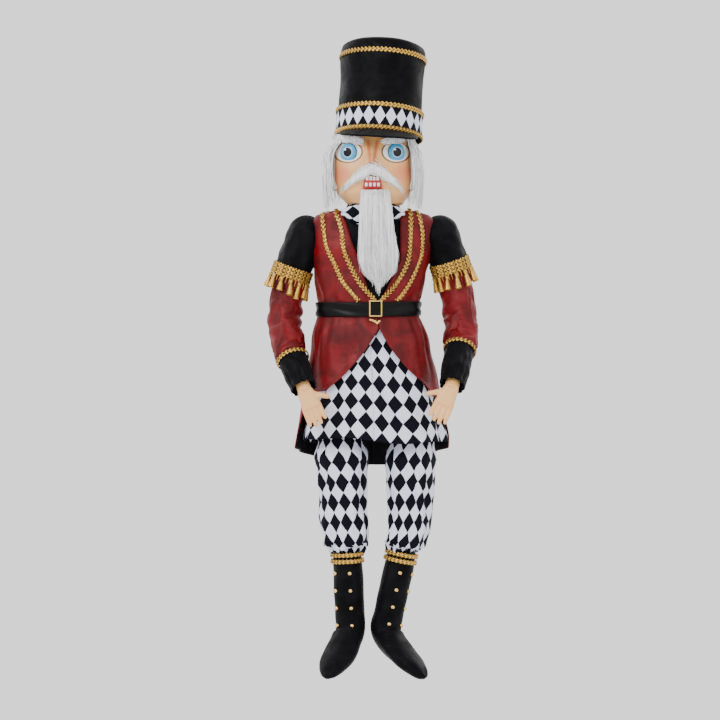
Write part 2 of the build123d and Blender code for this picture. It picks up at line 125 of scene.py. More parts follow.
# Head sections: the coat's columns and a shift backwards.
HEAD = [
    (157, 32, 38, 3, -8), (163, 44, 46, 3, -6), (178, 56, 54, 1, -4), (200, 62, 58, 0, -2),
    (240, 61, 59, -1, -1), (262, 54, 54, 3, 0), (285, 46, 46, 7, 0), (300, 30, 29, 8, 0),
]

# The studio, in metres and watts. Lamps: name, place, size, power.
LAMPS = [
    ("key", (-1.6, -2.6, 1.8), 0.9, 60), ("fill", (2.2, -2.4, 0.6), 1.6, 8),
    ("rim_left", (-1.8, 1.9, 1.4), 1.2, 16), ("rim_right", (1.8, 1.9, 1.4), 1.2, 16),
]
SKY_STRENGTH = 1.45
FLOOR_HALF_WIDTH, FLOOR_Z = 0.85, -0.75
CAMERA_PLACE, CAMERA_LENS = (-0.020, -4.5, -0.079), 145


# ---------------------------------------------------------------- settings
def colour_setting(name, description, default):
    return bpy.props.FloatVectorProperty(name=name, description=description, subtype="COLOR", default=default,
                                         min=0, max=1)


def length_setting(name, description, default):
    return bpy.props.FloatProperty(name=name, description=description, default=default, unit="LENGTH")


class DollClothSettings(bpy.types.PropertyGroup):
    velvet: colour_setting("Coat velvet", "Colour of the coat and lower sleeves", (0.19, 0.001, 0.004))
    print_light: colour_setting("Light diamonds", "Light colour of the diamond print", (0.74, 0.76, 0.90))
    print_dark: colour_setting("Dark diamonds", "Dark colour of the diamond print", (0.003, 0.003, 0.007))
    diamond_width: length_setting("Diamond width", "Width of one printed diamond", 0.0196)
    diamond_height: length_setting("Diamond height", "Height of one printed diamond", 0.0300)
    cloth: length_setting("Cloth thickness", "Thickness of a layer of cloth", 0.0012)


class DollHeadSettings(bpy.types.PropertyGroup):
    skin: colour_setting("Skin", "Painted skin of the head and hands", (0.84, 0.45, 0.17))
    iris: colour_setting("Iris", "Colour of the eyes", (0.035, 0.28, 0.52))
    strands: bpy.props.IntProperty(
        name="Hair strands", description="Number of strands in the hair", default=2600, min=10, max=4000)
    strand_radius: length_setting("Strand radius", "Radius of a lock of hair at its root", 0.0005)


class DollTrimSettings(bpy.types.PropertyGroup):
    gold: colour_setting("Gold", "Colour of the braid and fringe", (0.74, 0.43, 0.08))
    tassels: bpy.props.IntProperty(
        name="Tassels", description="Number of tassels round each arm", default=13, min=4, max=24)


def cloth_settings():
    return bpy.context.scene.doll_cloth


def head_settings():
    return bpy.context.scene.doll_head


def trim_settings():
    return bpy.context.scene.doll_trim


# ---------------------------------------------------------------- shader maths
class Socket:
    """A shader socket whose arithmetic adds Math nodes to its tree."""

    def __init__(self, tree, socket):
        self.tree, self.socket = tree, socket

    def node(self, kind, inputs, output=0, **settings):
        made = self.tree.nodes.new(kind)
        for key, value in settings.items():
            setattr(made, key, value)
        for key, value in inputs.items():
            if isinstance(value, Socket):
                self.tree.links.new(value.socket, made.inputs[key])
            else:
                made.inputs[key].default_value = value
        return Socket(self.tree, made.outputs[output])

    def math(self, operation, *values):
        return self.node("ShaderNodeMath", dict(enumerate(values)), operation=operation)

    def __add__(self, other):
        return self.math("ADD", self, other)

    def __sub__(self, other):
        return self.math("SUBTRACT", self, other)

    def __mul__(self, other):
        return self.math("MULTIPLY", self, other)

    def __truediv__(self, other):
        return self.math("DIVIDE", self, other)

    def __rsub__(self, other):
        return self.math("SUBTRACT", other, self)

    __radd__ = __add__
    __rmul__ = __mul__

    def floor(self):
        return self.math("FLOOR", self)

    def sine(self):
        return self.math("SINE", self)

    def distance(self, other):
        """Length of the pair (self, other); with 0 it is the size of self without its sign."""
        return self.math("SQRT", self * self + other * other)

    def step(self, low, high):
        """0 below low and 1 above high, smooth between them. low may be the larger, which turns it round."""
        if low > high:
            return 1 - self.step(high, low)
        return self.node("ShaderNodeMapRange", {0: self, 1: low, 2: high, 3: 0.0, 4: 1.0},
                         interpolation_type="SMOOTHSTEP")

    def blend(self, first, second):
        """first where this is 0, second where it is 1."""
        return self.node("ShaderNodeMix", {0: self, 6: first, 7: second}, output=2, data_type="RGBA")


def rgba(colour):
    return (*colour, 1.0)


class Paint:
    """A material with one Principled shader."""

    def __init__(self, name, roughness=0.6, **constants):
        self.material = bpy.data.materials.new(name)
        self.material.use_nodes = True
        self.tree = self.material.node_tree
        self.shader = self.tree.nodes["Principled BSDF"]
        self.start = Socket(self.tree, None)
        self.set("Roughness", roughness)
        for key, value in constants.items():
            self.set(key.replace("_", " "), value)

    def set(self, name, value):
        if isinstance(value, Socket):
            self.tree.links.new(value.socket, self.shader.inputs[name])
        else:
            self.shader.inputs[name].default_value = value

    def node(self, kind, inputs, output=0, **settings):
        return self.start.node(kind, inputs, output, **settings)

    def place(self):
        return self.node("ShaderNodeTexCoord", {}, output=3)

    def axes(self, vector):
        return [self.node("ShaderNodeSeparateXYZ", {0: vector}, output=i) for i in range(3)]

    def uv(self):
        return self.axes(self.node("ShaderNodeUVMap", {}, uv_map="UVMap"))

    def noise(self, scale, detail=3.0, distortion=0.0, vector=None):
        where = vector or self.place()
        return self.node("ShaderNodeTexNoise", {"Vector": where, "Scale": scale, "Detail": detail,
                                                "Distortion": distortion})

    def stretched(self, x, y, z):
        return self.node("ShaderNodeMapping", {0: self.place(), 3: (x, y, z)})

    def bump(self, height, strength, distance):
        self.set("Normal", self.node("ShaderNodeBump", {"Height": height, "Strength": strength,
                                                        "Distance": distance}))


def velvet(name, dark, light, contrast=(0.42, 0.62), sheen=0.5, tint=(1, 1, 1), shine=0.25):
    paint = Paint(name, 0.55, Sheen_Weight=sheen, Sheen_Roughness=0.35, Sheen_Tint=rgba(tint),
                  Specular_IOR_Level=shine)
    crush_and_sheen = paint.noise(26, 4, 1.4)
    pile = paint.noise(900, 2)
    # The crushed pile is real and also roughens and bumps the cloth; its darker patches in the base colour are
    # painted shade and its lighter patches painted sheen.
    paint.set("Base Color", crush_and_sheen.step(*contrast).blend(rgba(dark), rgba(light)))
    paint.set("Roughness", 0.62 - 0.22 * crush_and_sheen.step(*contrast))
    paint.bump(pile + 1.5 * crush_and_sheen, 0.35, 0.0012)
    return paint.material


def harlequin(name):
    cloth = cloth_settings()
    paint = Paint(name, 0.7, Specular_IOR_Level=0.08)
    u, v = paint.uv()[:2]
    across, up = u / cloth.diamond_width, v / cloth.diamond_height
    rising, falling = across + up, across - up
    rows = rising.floor() + falling.floor()
    light = (rows / 2 - (rows / 2).floor()) * 2
    paint.set("Base Color", light.step(0.3, 0.7).blend(rgba(cloth.print_dark), rgba(cloth.print_light)))
    weave = (u * (tau / 0.0009)).sine() * (v * (tau / 0.0009)).sine()
    paint.bump(weave + 2 * paint.noise(300), 0.25, 0.0004)
    return paint.material


def gold(name):
    paint = Paint(name, 0.36, Metallic=0.85, Specular_IOR_Level=0.5)
    thread = paint.noise(1100, 2)
    colour = rgba(trim_settings().gold)
    paint.set("Base Color", thread.step(0.3, 0.6).blend(tuple(0.35 * c for c in colour[:3]) + (1,), colour))
    paint.bump(thread, 0.5, 0.0006)
    return paint.material


def braid(name):
    """Gold thread with painted shade in the gaps between the loops of the plait. The UV map runs along the
    braid, in metres.
    """
    paint = Paint(name, 0.34, Metallic=0.75, Specular_IOR_Level=0.5)
    along, across = paint.uv()[:2]
    centre = (across / (BRAID * MM) - 0.5).distance(0)
    plait = (along * (tau / 0.0064) + centre * 8).sine()
    colour = rgba(trim_settings().gold)
    thread = plait + (paint.noise(1300, 2) - 0.5) * 2.2
    # The gaps between the loops are painted near black, 0.10 of the gold: painted shade.
    paint.set("Base Color", thread.step(-0.75, 0.1).blend(tuple(0.10 * c for c in colour[:3]) + (1,), colour))
    paint.bump(thread, 0.5, 0.0006)
    return paint.material


def metal(name):
    return Paint(name, 0.25, Metallic=1.0, Base_Color=(0.80, 0.52, 0.18, 1)).material


def fur(name, streak):
    paint = Paint(name, 0.5, Sheen_Weight=0.3, Specular_IOR_Level=0.4)
    strands = paint.noise(1, 3, 0, paint.stretched(*streak))
    shade = strands.step(0.2, 0.6)
    paint.set("Base Color", shade.blend((0.46, 0.46, 0.51, 1), (0.97, 0.97, 0.98, 1)))
    paint.bump(strands, 0.3, 0.001)
    return paint.material


def plain(name, colour, roughness, **constants):
    return Paint(name, roughness, Base_Color=rgba(colour), **constants).material


def painted_face(name):
    """Skin with blushed cheeks, shaded nose and the whites of the eyes with a brown outline."""
    skin = head_settings().skin
    paint = Paint(name, 0.42, Specular_IOR_Level=0.35, Coat_Weight=0.12, Coat_Roughness=0.35)
    x, y, z = (axis * 1000 for axis in paint.axes(paint.place()))
    front = y.step(-18, -34)
    colour = paint.noise(16).step(0.3, 0.75).blend(rgba(skin), tuple(0.93 * c for c in skin) + (1,))
    blush = (0.72, 0.21, 0.10, 1)
    for cheek_x, cheek_z in ((-49, 206), (46, 208)):
        spot = ((x - cheek_x) * 0.8).distance((z - cheek_z) * 0.95).step(20, 4)
        colour = (spot * front * 0.85).blend(colour, blush)
    for line_x, lean in ((-6.0, -0.10), (3.6, 0.17)):
        line = (x - line_x - lean * (z - 240)).distance(0).step(4.2, 0.8)
        length = z.step(214, 224) * z.step(264, 252)
        colour = (line * length * front * 0.85).blend(colour, (0.60, 0.15, 0.05, 1))
    shade = z.step(190, 160)
    colour = (shade * 0.35).blend(colour, (0.42, 0.20, 0.09, 1))
    for side, hand in SIDES.items():
        across = (x - FACE_X - EYE_SPREAD[side]) / 20.5
        up = (z - (EYE_Z - 1)) / 15.5
        ring = across.distance(up)
        lid = (z - (EYE_Z + 11.5) - 0.10 * hand * (x - EYE_SPREAD[side])) / 15.5
        shape = ring.math("MAXIMUM", ring, 1 + lid)
        colour = (shape.step(1.13, 1.05) * front).blend(colour, (0.10, 0.045, 0.02, 1))
        colour = (shape.step(1.0, 0.95) * front).blend(colour, (0.86, 0.80, 0.70, 1))
    paint.set("Base Color", colour)
    paint.bump(paint.noise(700, 2), 0.05, 0.0004)
    return paint.material


def painted_eye(name):
    """Iris, pupil and catchlight on an eye whose UV map is centred on its pupil, in metres."""
    iris = head_settings().iris
    paint = Paint(name, 0.35, Specular_IOR_Level=0.2, Coat_Weight=0.15, Coat_Roughness=0.1)
    u, v = paint.uv()[:2]
    u, v = u * 1000, v * 1000
    radius = u.distance(v)
    light = tuple(0.35 + 0.65 * c for c in iris) + (1,)
    streaks = paint.noise(420).step(0.3, 0.7)
    colour = streaks.blend(rgba(iris), tuple(min(1, 1.3 * c) for c in iris) + (1,))
    colour = radius.step(8.6, 6.4).blend(colour, light)
    colour = radius.step(11.7, 12.5).blend(colour, (0.02, 0.06, 0.09, 1))
    colour = radius.step(6.5, 5.9).blend(colour, (0.001, 0.001, 0.002, 1))
    glint = (u + 3.6).distance(v - 3.8)
    colour = glint.step(1.6, 1.2).blend(colour, (0.95, 0.97, 1, 1))
    paint.set("Base Color", colour)
    return paint.material


# ---------------------------------------------------------------- mesh helpers
def between(table, height):
    """Row of a section table at a height, smooth between its entries."""
    if height <= table[0][0]:
        return table[0]
    for low, high in zip(table, table[1:]):
        if height <= high[0]:
            share = (height - low[0]) / (high[0] - low[0])
            share = 0.5 * share + 0.5 * share * share * (3 - 2 * share)
            return [a + share * (b - a) for a, b in zip(low, high)]
    return table[-1]


def eased(before, near, far, after, share):
    """Catmull-Rom curve between near and far, for numbers or vectors."""
    return 0.5 * (2 * near + (far - before) * share + (2 * before - 5 * near + 4 * far - after) * share ** 2
                  + (3 * near - before - 3 * far + after) * share ** 3)


def squared(angle, power):
    """Cosine and sine, pushed out from a circle towards a square."""
    c, s = cos(angle), sin(angle)
    reach = (abs(c) ** power + abs(s) ** power) ** (-1 / power)
    return reach * c, reach * s


def crumple(angle, size, along):
    """Smooth noise that closes on itself round a limb or a body."""
    return noise.noise(Vector((size * cos(angle), size * sin(angle), along)))


def spoke(side, front, turn):
    return side * cos(turn) + front * sin(turn)


def around(table, height, angle, grow=0.0, power=2.2):
    """Point on a section, which is a slightly squared ellipse."""
    half_width, half_depth, shift = between(table, height)[1:4]
    c, s = squared(angle, power)
    return Vector((shift + (half_width + grow) * c, (half_depth + grow) * s, height))


def surface(columns, rows, place, closed=False, size=(1.0, 1.0)):
    """Grid laid out by place(u, v), in millimetres. The UV map spans size, in metres."""
    bm = bmesh.new()
    bmesh.ops.create_grid(bm, x_segments=columns, y_segments=rows, size=0.5)
    uv = bm.loops.layers.uv.new("UVMap")
    for face in bm.faces:
        for loop in face.loops:
            loop[uv].uv = ((loop.vert.co.x + 0.5) * size[0], (loop.vert.co.y + 0.5) * size[1])
    for vert in bm.verts:
        vert.co = Vector(place(vert.co.x + 0.5, vert.co.y + 0.5)) * MM
    if closed:
        bmesh.ops.remove_doubles(bm, verts=[v for v in bm.verts if v.is_boundary], dist=1e-6)
    middle = sum((v.co for v in bm.verts), Vector()) / len(bm.verts)
    bm.normal_update()
    outward = sum(f.normal.dot(f.calc_center_median() - middle) * f.calc_area() for f in bm.faces)
    if outward < 0:
        bmesh.ops.reverse_faces(bm, faces=bm.faces)
    return bm


def piece(name, bm, look, body=None, stands_for=(), slot=None, thickness=0.0):
    """Adds an object, rides it on its body and hides the nodes that it replaces. The slot argument is not used.
    """
    mesh = bpy.data.meshes.new(name)
    bm.to_mesh(mesh)
    bm.free()
    made = bpy.data.objects.new(name, mesh)
    bpy.context.scene.collection.objects.link(made)
    mesh.materials.append(look)
    mesh.shade_smooth()
    if thickness:
        wall = made.modifiers.new("wall", "SOLIDIFY")
        wall.thickness, wall.offset = thickness, -1
    if stands_for:
        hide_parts(*stands_for)
    if body:
        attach(made, body)
    return made


def joined(parts):
    """One bmesh holding several."""
    whole = bmesh.new()
    for part in parts:
        mesh = bpy.data.meshes.new("join")
        part.to_mesh(mesh)
        part.free()
        whole.from_mesh(mesh)
        bpy.data.meshes.remove(mesh)
    return whole


def relax(cloth_piece, held, growth, pressure, frames=16, gravity=0.4, inward=5.0, outward=9.0):
    """Lets cloth that is cut too large settle into folds. held gives 1 where it is sewn down.
    A point moves no further in or out than those distances, in millimetres."""
    mesh = cloth_piece.data
    scene = bpy.context.scene
    group = cloth_piece.vertex_groups.new(name="held")
    for vertex in mesh.vertices:
        group.add([vertex.index], held(vertex.co / MM), "REPLACE")
    modifier = cloth_piece.modifiers.new("folds", "CLOTH")
    settings = modifier.settings
    settings.quality, settings.mass = 5, 0.2
    settings.tension_stiffness = settings.compression_stiffness = 25
    settings.shear_stiffness, settings.bending_stiffness = 8, 0.4
    settings.tension_damping = settings.compression_damping = 10
    settings.vertex_group_mass = "held"
    settings.shrink_min = -growth
    settings.use_pressure = pressure != 0
    settings.uniform_pressure_force = pressure
    settings.effector_weights.gravity = gravity
    modifier.collision_settings.use_collision = False
    modifier.point_cache.frame_start, modifier.point_cache.frame_end = 1, frames
    others = [m for m in cloth_piece.modifiers if m != modifier]
    for other in others:
        other.show_viewport = False
    for step in range(1, frames + 1):
        scene.frame_set(step)
    settled = cloth_piece.evaluated_get(bpy.context.evaluated_depsgraph_get()).to_mesh()
    places = [v.co.copy() for v in settled.vertices]
    normals = [v.normal.copy() for v in mesh.vertices]
    cloth_piece.modifiers.remove(modifier)
    cloth_piece.vertex_groups.remove(group)
    for other in others:
        other.show_viewport = True
    for vertex, place, normal in zip(mesh.vertices, places, normals):
        move = place - vertex.co
        along = move.dot(normal)
        allowed = max(-inward * MM, min(outward * MM, along))
        vertex.co += move + normal * (allowed - along)
    scene.frame_set(1)


def braid_ribbon(path, count, width=7.6, height=1.9, repeat=6.4, closed=False):
    """Scalloped woven braid along path(t), which gives a point and its outward direction."""
    points = [path(i / count) for i in range(count + 1)]
    total, lengths = 0.0, [0.0]
    for near, far in zip(points, points[1:]):
        total += (far[0] - near[0]).length
        lengths.append(total)
    turns = max(1, round(total / repeat))

    def place(u, v):
        index = round(u * count)
        at, out = points[index]
        ahead = points[(index + 1) % count][0] if closed else points[min(index + 1, count)][0]
        behind = points[(index - 1) % count][0] if closed else points[max(index - 1, 0)][0]
        side = (ahead - behind).normalized().cross(out).normalized()
        across = 2 * v - 1
        phase = tau * turns * lengths[index] / total
        scallop = 0.86 + 0.24 * cos(phase)
        plait = 0.62 + 0.38 * cos(phase + 2.6 * abs(across) * pi) * (1 - 0.4 * abs(across))
        edge = 1 - abs(across) ** 4
        return at + side * across * scallop * width / 2 + out * (0.25 + height * plait * edge)

    return surface(count, 8, place, closed=closed, size=(total * MM, width * MM))


def limb_frame(axis, reference=BACKWARD):
    """A limb's axis with two directions square to it."""
    axis = axis.normalized()
    side = reference.cross(axis).normalized()
    return axis, side, axis.cross(side)


def ring_path(centre, axis, radius, reference=BACKWARD):
    """Path round a limb or the hat, for a braid."""
    side, front = limb_frame(axis, reference)[1:]

    def path(t):
        out = spoke(side, front, tau * t)
        return centre + out * radius, out.normalized()

    return path


def tube(stations, axis, start, reference, columns, rows, wrinkle=None, size=(1, 1)):
    """Tube of varying radius along a straight limb. stations are (distance, radius)."""
    axis, side, front = limb_frame(axis, reference)
    first, last = stations[0][0], stations[-1][0]

    def place(u, v):
        distance = last + (first - last) * v
        radius = between(stations, distance)[1]
        if wrinkle:
            radius += wrinkle(u, distance)
        return start + axis * distance + spoke(side, front, tau * u) * radius

    return surface(columns, rows, place, closed=True, size=size)


def strands(name, locks, look, radius, body, tip=0.25, **options):
    """Locks of hair, each a tapered run through its points, made one mesh."""
    curve = bpy.data.curves.new(name, "CURVE")
    curve.dimensions = "3D"
    curve.bevel_depth, curve.bevel_resolution, curve.resolution_u = radius, 0, 1
    for points in locks:
        spline = curve.splines.new("POLY")
        spline.points.add(len(points) - 1)
        for index, (control, point) in enumerate(zip(spline.points, points)):
            control.co = (*(Vector(point) * MM), 1)
            control.radius = 1 - (1 - tip) * index / (len(points) - 1)
    holder = bpy.data.objects.new(name + "_curve", curve)
    bpy.context.scene.collection.objects.link(holder)
    mesh = holder.evaluated_get(bpy.context.evaluated_depsgraph_get()).to_mesh()
    bm = bmesh.new()
    bm.from_mesh(mesh)
    bpy.data.objects.remove(holder)
    return piece(name, bm, look, body, **options)


# ---------------------------------------------------------------- shared materials
MATERIALS = {}


def material(name):
    """Each material is made once, the first time that a piece asks for it."""
    recipes = {
        # The coat's darker velvet colour, 0.36 of its own, is painted shade in the crushed pile.
        "coat": lambda: velvet("coat_velvet", tuple(0.36 * c for c in cloth_settings().velvet),
                               cloth_settings().velvet, (0.28, 0.78), 0.15, (1.0, 0.04, 0.07)),
        "black": lambda: velvet("black_velvet", (0.0010, 0.0010, 0.0014), (0.0040, 0.0040, 0.0055), (0.3, 0.7),
                                0.04, shine=0.06),
        "lining": lambda: plain("satin_lining", (0.004, 0.003, 0.004), 0.5, Specular_IOR_Level=0.1),
        "satin": lambda: plain("black_satin", (0.0018, 0.0018, 0.002), 0.36, Specular_IOR_Level=0.14),
        "braid": lambda: braid("plaited_braid"),
        "print": lambda: harlequin("diamond_print"),
        "gold": lambda: gold("gold_braid"),
        "metal": lambda: metal("gold_metal"),
        "face": lambda: painted_face("painted_face"),
        "skin": lambda: plain("painted_skin", head_settings().skin, 0.45, Coat_Weight=0.08),
        "eye": lambda: painted_eye("painted_eye"),
        "mouth": lambda: plain("mouth_red", (0.42, 0.012, 0.015), 0.4),
        "teeth": lambda: plain("tooth_white", (0.80, 0.77, 0.72), 0.3),
        "hair": lambda: fur("white_hair", (260, 260, 9)),
        "whiskers": lambda: fur("white_fur", (520, 300, 14)),
    }
    if name not in MATERIALS:
        MATERIALS[name] = recipes[name]()
    return MATERIALS[name]


# ---------------------------------------------------------------- body clothes
def lapel_edge(height, side):
    """Where the coat's front opening is, across the chest."""
    rise = max(height - 8, 0)
    if side == "left":
        return min(9 + 0.50 * rise, 41)
    return max(-0.33 * rise, -44)


def front_angle(table, height, x):
    """Angle of the point on a section's front half that stands at x."""
    row = between(table, height)
    return -acos(max(-0.98, min(0.98, (x - row[3]) / row[1])))


def coat_fold(angle, height):
    """Soft folds of velvet, stronger towards the nipped waist."""
    pull = math.exp(-((height - 5) / 30) ** 2)
    gathers = 2.4 * pull * sin(11 * angle + 2.2 * sin(3 * angle))
    drape = 3.4 * crumple(angle, 2.2, height / 38)
    under_belt = math.exp(-(height / 13) ** 4)
    return (gathers + drape) * (1 - 0.85 * under_belt)


def coat_surface(angle, height, lift=0.0):
    return around(COAT, height, angle, lift + coat_fold(angle, height))


def outward_on(table_place, angle, height):
    """Direction square to a body surface."""
    step = 0.02
    across = table_place(angle + step, height) - table_place(angle - step, height)
    up = table_place(angle, height + 1) - table_place(angle, height - 1)
    return across.cross(up).normalized()


class DOLL_OT_coat(bpy.types.Operator):
    """Make the coat's bodice, its lapel braids, the shirt front, the bow tie and the belt"""
    bl_idname = "doll.coat"
    bl_label = "Coat bodice and belt"

    def execute(self, context):
        def bodice_place(u, v):
            height = -12 + 164 * v
            start = front_angle(COAT, height, lapel_edge(height, "left"))
            end = tau + front_angle(COAT, height, lapel_edge(height, "right"))
            return coat_surface(start + u * (end - start), height)

        bodice = piece("coat_bodice_cloth", surface(150, 76, bodice_place), material("coat"), "torso",
                       ["coat_bodice"], "red_velvet", cloth_settings().cloth)

        def shirt_place(u, v):
            height = -10 + 158 * v
            return around(COAT, height, radians(215) + u * radians(110), -4.5 + 0.9 * sin(u * 60) * (1 - v))

        piece("shirt_front", surface(60, 50, shirt_place), material("black"), "torso", ["shirt_bodice"],
              "black_velvet", cloth_settings().cloth)
        stuffing = surface(48, 30, lambda u, v: around(COAT, -12 + 154 * v, tau * u, -9), closed=True)
        piece("torso_stuffing", stuffing, material("lining"), "torso", ["torso_core"], "stuffing")
        self.lapel_braids()
        self.belt()
        self.bow()
        return {"FINISHED"}

    def lapel_braids(self):
        """Four strips from the shoulders to the belt, in order from the doll's right to its left."""
        strips = []
        for run in LAPEL_BRAIDS:
            curve = [Vector((x, 0, z)) for x, z in run]

            def path(t, curve=curve):
                spot = t * (len(curve) - 1)
                index = min(int(spot), len(curve) - 2)
                f = spot - index
                before, after = curve[max(index - 1, 0)], curve[min(index + 2, len(curve) - 1)]
                at = eased(before, curve[index], curve[index + 1], after, f)
                angle = front_angle(COAT, at.z, at.x)
                return coat_surface(angle, at.z, 0.5), outward_on(coat_surface, angle, at.z)

            strips.append(braid_ribbon(path, 220))
        piece("lapel_braid", joined(strips), material("braid"), "torso", ["lapel_braids"], "gold_braid")

    def belt(self):
        """The satin belt with its buckle and the beads that hang below the buckle."""
        def belt_place(u, v):
            height = BELT_BOTTOM * (1 - 2 * v) + 1.2 * sin(tau * u + 0.6)
            crease = 0.7 * sin(v * 9 + 2 * sin(tau * u * 3)) + 0.9 * noise.noise(Vector((u * 14, v * 2, 0)))
            return around(COAT, height, tau * u, 4.0 + crease)

        piece("satin_belt", surface(180, 14, belt_place, closed=True, size=(0.42, 0.022)),
              material("satin"), "torso", ["belt"], "satin", cloth_settings().cloth)
        front = -between(COAT, 0)[2] - 6.5
        centre = Vector((4, front, 0))
        bars = []
        for offset, size in (((0, 0, 11.5), (19, 2.2, 2)), ((0, 0, -11.5), (19, 2.2, 2)),
                             ((-9, 0, 0), (2, 2.2, 25)), ((9, 0, 0), (2, 2.2, 25))):
            bar = bmesh.new()
            bmesh.ops.create_cube(bar, size=1)
            for vert in bar.verts:
                vert.co = (Vector(offset) + centre + Vector([c * s for c, s in zip(vert.co, size)])) * MM
            bmesh.ops.bevel(bar, geom=bar.edges, offset=0.0005, offset_type="OFFSET", segments=2, profile=0.5,
                            affect="EDGES", material=-1)
            bars.append(bar)
        for across, down, size in ((-8, 17.5, 2.2), (-4.5, 18.5, 2.5), (-1, 20, 2.8), (2.5, 22, 3.0),
                                   (5.5, 19.5, 2.4)):
            bead = bmesh.new()
            bmesh.ops.create_uvsphere(bead, u_segments=12, v_segments=8, radius=size * MM)
            bmesh.ops.translate(bead, verts=bead.verts, vec=(centre + Vector((across, 0.8, -down))) * MM)
            bars.append(bead)
        piece("buckle", joined(bars), material("metal"), "torso", ["belt_buckle"], "gold_metal")

    def bow(self):
        """A crumpled collar with two loops and a knot in front."""
        loops = []
        for hand in (-1, 1):
            def loop_place(u, v, hand=hand):
                reach = 5 + 44 * v
                swell = 0.4 + 0.9 * sin(pi * min(v * 1.15, 1)) ** 0.7
                turn = tau * u
                crimp = 1 + 0.16 * sin(5 * turn) * (1 - v)
                return Vector((hand * reach, -46 + 4 * v + 4.5 * swell * sin(turn) * crimp,
                               145 + 3 * v + 12 * swell * cos(turn) * crimp))
            loops.append(surface(40, 22, loop_place, closed=True, size=(0.09, 0.05)))

        def collar_place(u, v):
            turn = tau * u
            crease = 1.4 * sin(9 * turn + 3 * v) + 1.5 * crumple(turn, 3, 3 * v)
            wide = 52 - 14 * v + crease
            return Vector((wide * cos(turn), -4 + (40 - 8 * v + crease) * sin(turn),
                           140 + 22 * v - 5 * max(0, -sin(turn)) * (1 - v)))

        loops.append(surface(90, 14, collar_place, closed=True, size=(0.3724, 0.07)))
        knot = surface(24, 10, lambda u, v: Vector((7 * cos(pi * (v - 0.5)) * cos(tau * u),
                                                    -49 + 6 * sin(tau * u) * cos(pi * (v - 0.5)),
                                                    145 + 8 * sin(pi * (v - 0.5)))), closed=True,
                       size=(0.04, 0.02))
        piece("bow_tie_cloth", joined([*loops, knot]), material("print"), "torso", ["bow_tie"], "harlequin")


class DOLL_OT_skirts(bpy.types.Operator):
    """Make the diamond-print tunic, the coat's fronts and tails, and the trouser seat"""
    bl_idname = "doll.skirts"
    bl_label = "Tunic and coat skirts"

    def execute(self, context):
        for side, hand in SIDES.items():
            for half in (self.tunic_half(side, hand), self.coat_front(side, hand)):
                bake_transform(half)
            self.coat_tail(side, hand)

        def seat_place(u, v):
            height = -168 + 150 * v
            return around(SKIRT, height, tau * u, -12 - 6 * max(0, 0.2 - v) / 0.2)

        seat = surface(72, 30, seat_place, closed=True, size=(0.48, 0.15))
        piece("seat_cloth", seat, material("print"), "torso", ["trouser_seat"], "harlequin")
        return {"FINISHED"}

    def tunic_shape(self, angle, height):
        """Folds grow towards the hem, and one runs slantwise across the front."""
        fall = (-12 - height) / 190
        ripple = 3.4 * fall * sin(7 * angle + 1.1) + 2.2 * fall * sin(15 * angle + 3 * height / 60)
        slant = 4.2 * math.exp(-((angle + 1.15 + (height + 170) / 160) / 0.07) ** 2) * fall
        loose = 2.5 * crumple(angle, 2, height / 45)
        return ripple - slant + loose + 7 * fall * (1 - 0.9 * max(0, sin(angle)))

    def cinch(self, height):
        """1 under the belt, 0 once the skirts hang free."""
        return max(0, 1 - (SKIRT_TOP - height) / 42) ** 2

    def tunic_half(self, side, hand):
        start = -pi / 2 if hand > 0 else pi / 2

        def place(u, v):
            angle = start + pi * u
            hem = TUNIC_HEM + 4 * sin(2 * angle) - 2 * cos(5 * angle)
            height = hem + (-10 - hem) * v
            return around(SKIRT, height, angle, self.tunic_shape(angle, height) - 2.5 * self.cinch(height))

        size = (14 * cloth_settings().diamond_width, 0.198)
        tunic = piece(f"tunic_{side}", surface(96, 72, place, size=size), material("print"), None,
                      ["tunic_skirt"], "harlequin", cloth_settings().cloth)
        return tunic

    def coat_front(self, side, hand):
        """The cutaway front, whose edge curves away from the buckle to the side seam."""
        def edge_x(height):
            fall = max(-30 - height, 0)
            run = 0.43 * fall + 0.0031 * fall * fall
            return 8 + run if hand > 0 else 7 - run

        def place(u, v):
            share = u if hand > 0 else 1 - u
            hem = FRONT_HEM[side] + 8 * (1 - share)
            height = hem + (SKIRT_TOP - hem) * v
            edge = front_angle(SKIRT, height, edge_x(height))
            seam = 0.12 if hand > 0 else -pi - 0.12
            angle = edge + (seam - edge) * share
            roll = 3.0 * math.exp(-(share / 0.07) ** 2)
            folds = 3.0 * (1 - v) * sin(8 * angle + 1.5)
            folds += 3 * noise.noise(Vector((3 * angle, height / 40, hand)))
            pucker = 1.5 * v * sin(22 * angle)
            return around(SKIRT, height, angle, (7.5 + folds + pucker + roll) * (1 - self.cinch(height)))

        front = piece(f"coat_front_{side}_cloth", surface(72, 64, place), material("coat"), None,
                      [f"{side}_coat_front"], "red_velvet", cloth_settings().cloth * 1.5)
        return front

    def coat_tail(self, side, hand):
        """The tail and, just inside it, its black lining."""
        def place(lift):
            def shape(u, v):
                share = u if hand > 0 else 1 - u
                hem = TAIL_HEM - 28 * share ** 0.7 + 4 * sin(6 * share)
                height = hem + (SKIRT_TOP - hem) * v
                forward = 0.35 * (1 - min(1, max(0, (-150 - height) / 80)))
                begin = (0.0 if hand < 0 else 0.28) - forward
                angle = begin + share * (pi / 2 - begin)
                if hand < 0:
                    angle = pi - angle
                flare = (12 if hand < 0 else 6) * max(0, (-60 - height) / 170)
                folds = 3.4 * (1 - v) * sin(10 * angle) + 2.5 * noise.noise(Vector((2 * angle, height / 45, 4)))
                return around(SKIRT, height, angle, 6.2 + flare + folds + lift - 6 * self.cinch(height))
            return shape

        outer = piece(f"coat_tail_{side}_cloth", surface(64, 80, place(0.0)), material("coat"), "torso",
                      [f"{side}_coat_tail"], "red_velvet", cloth_settings().cloth)
        piece(f"coat_tail_{side}_lining", surface(64, 80, place(-1.8)), material("lining"), "torso",
              slot="satin", thickness=0.0005)


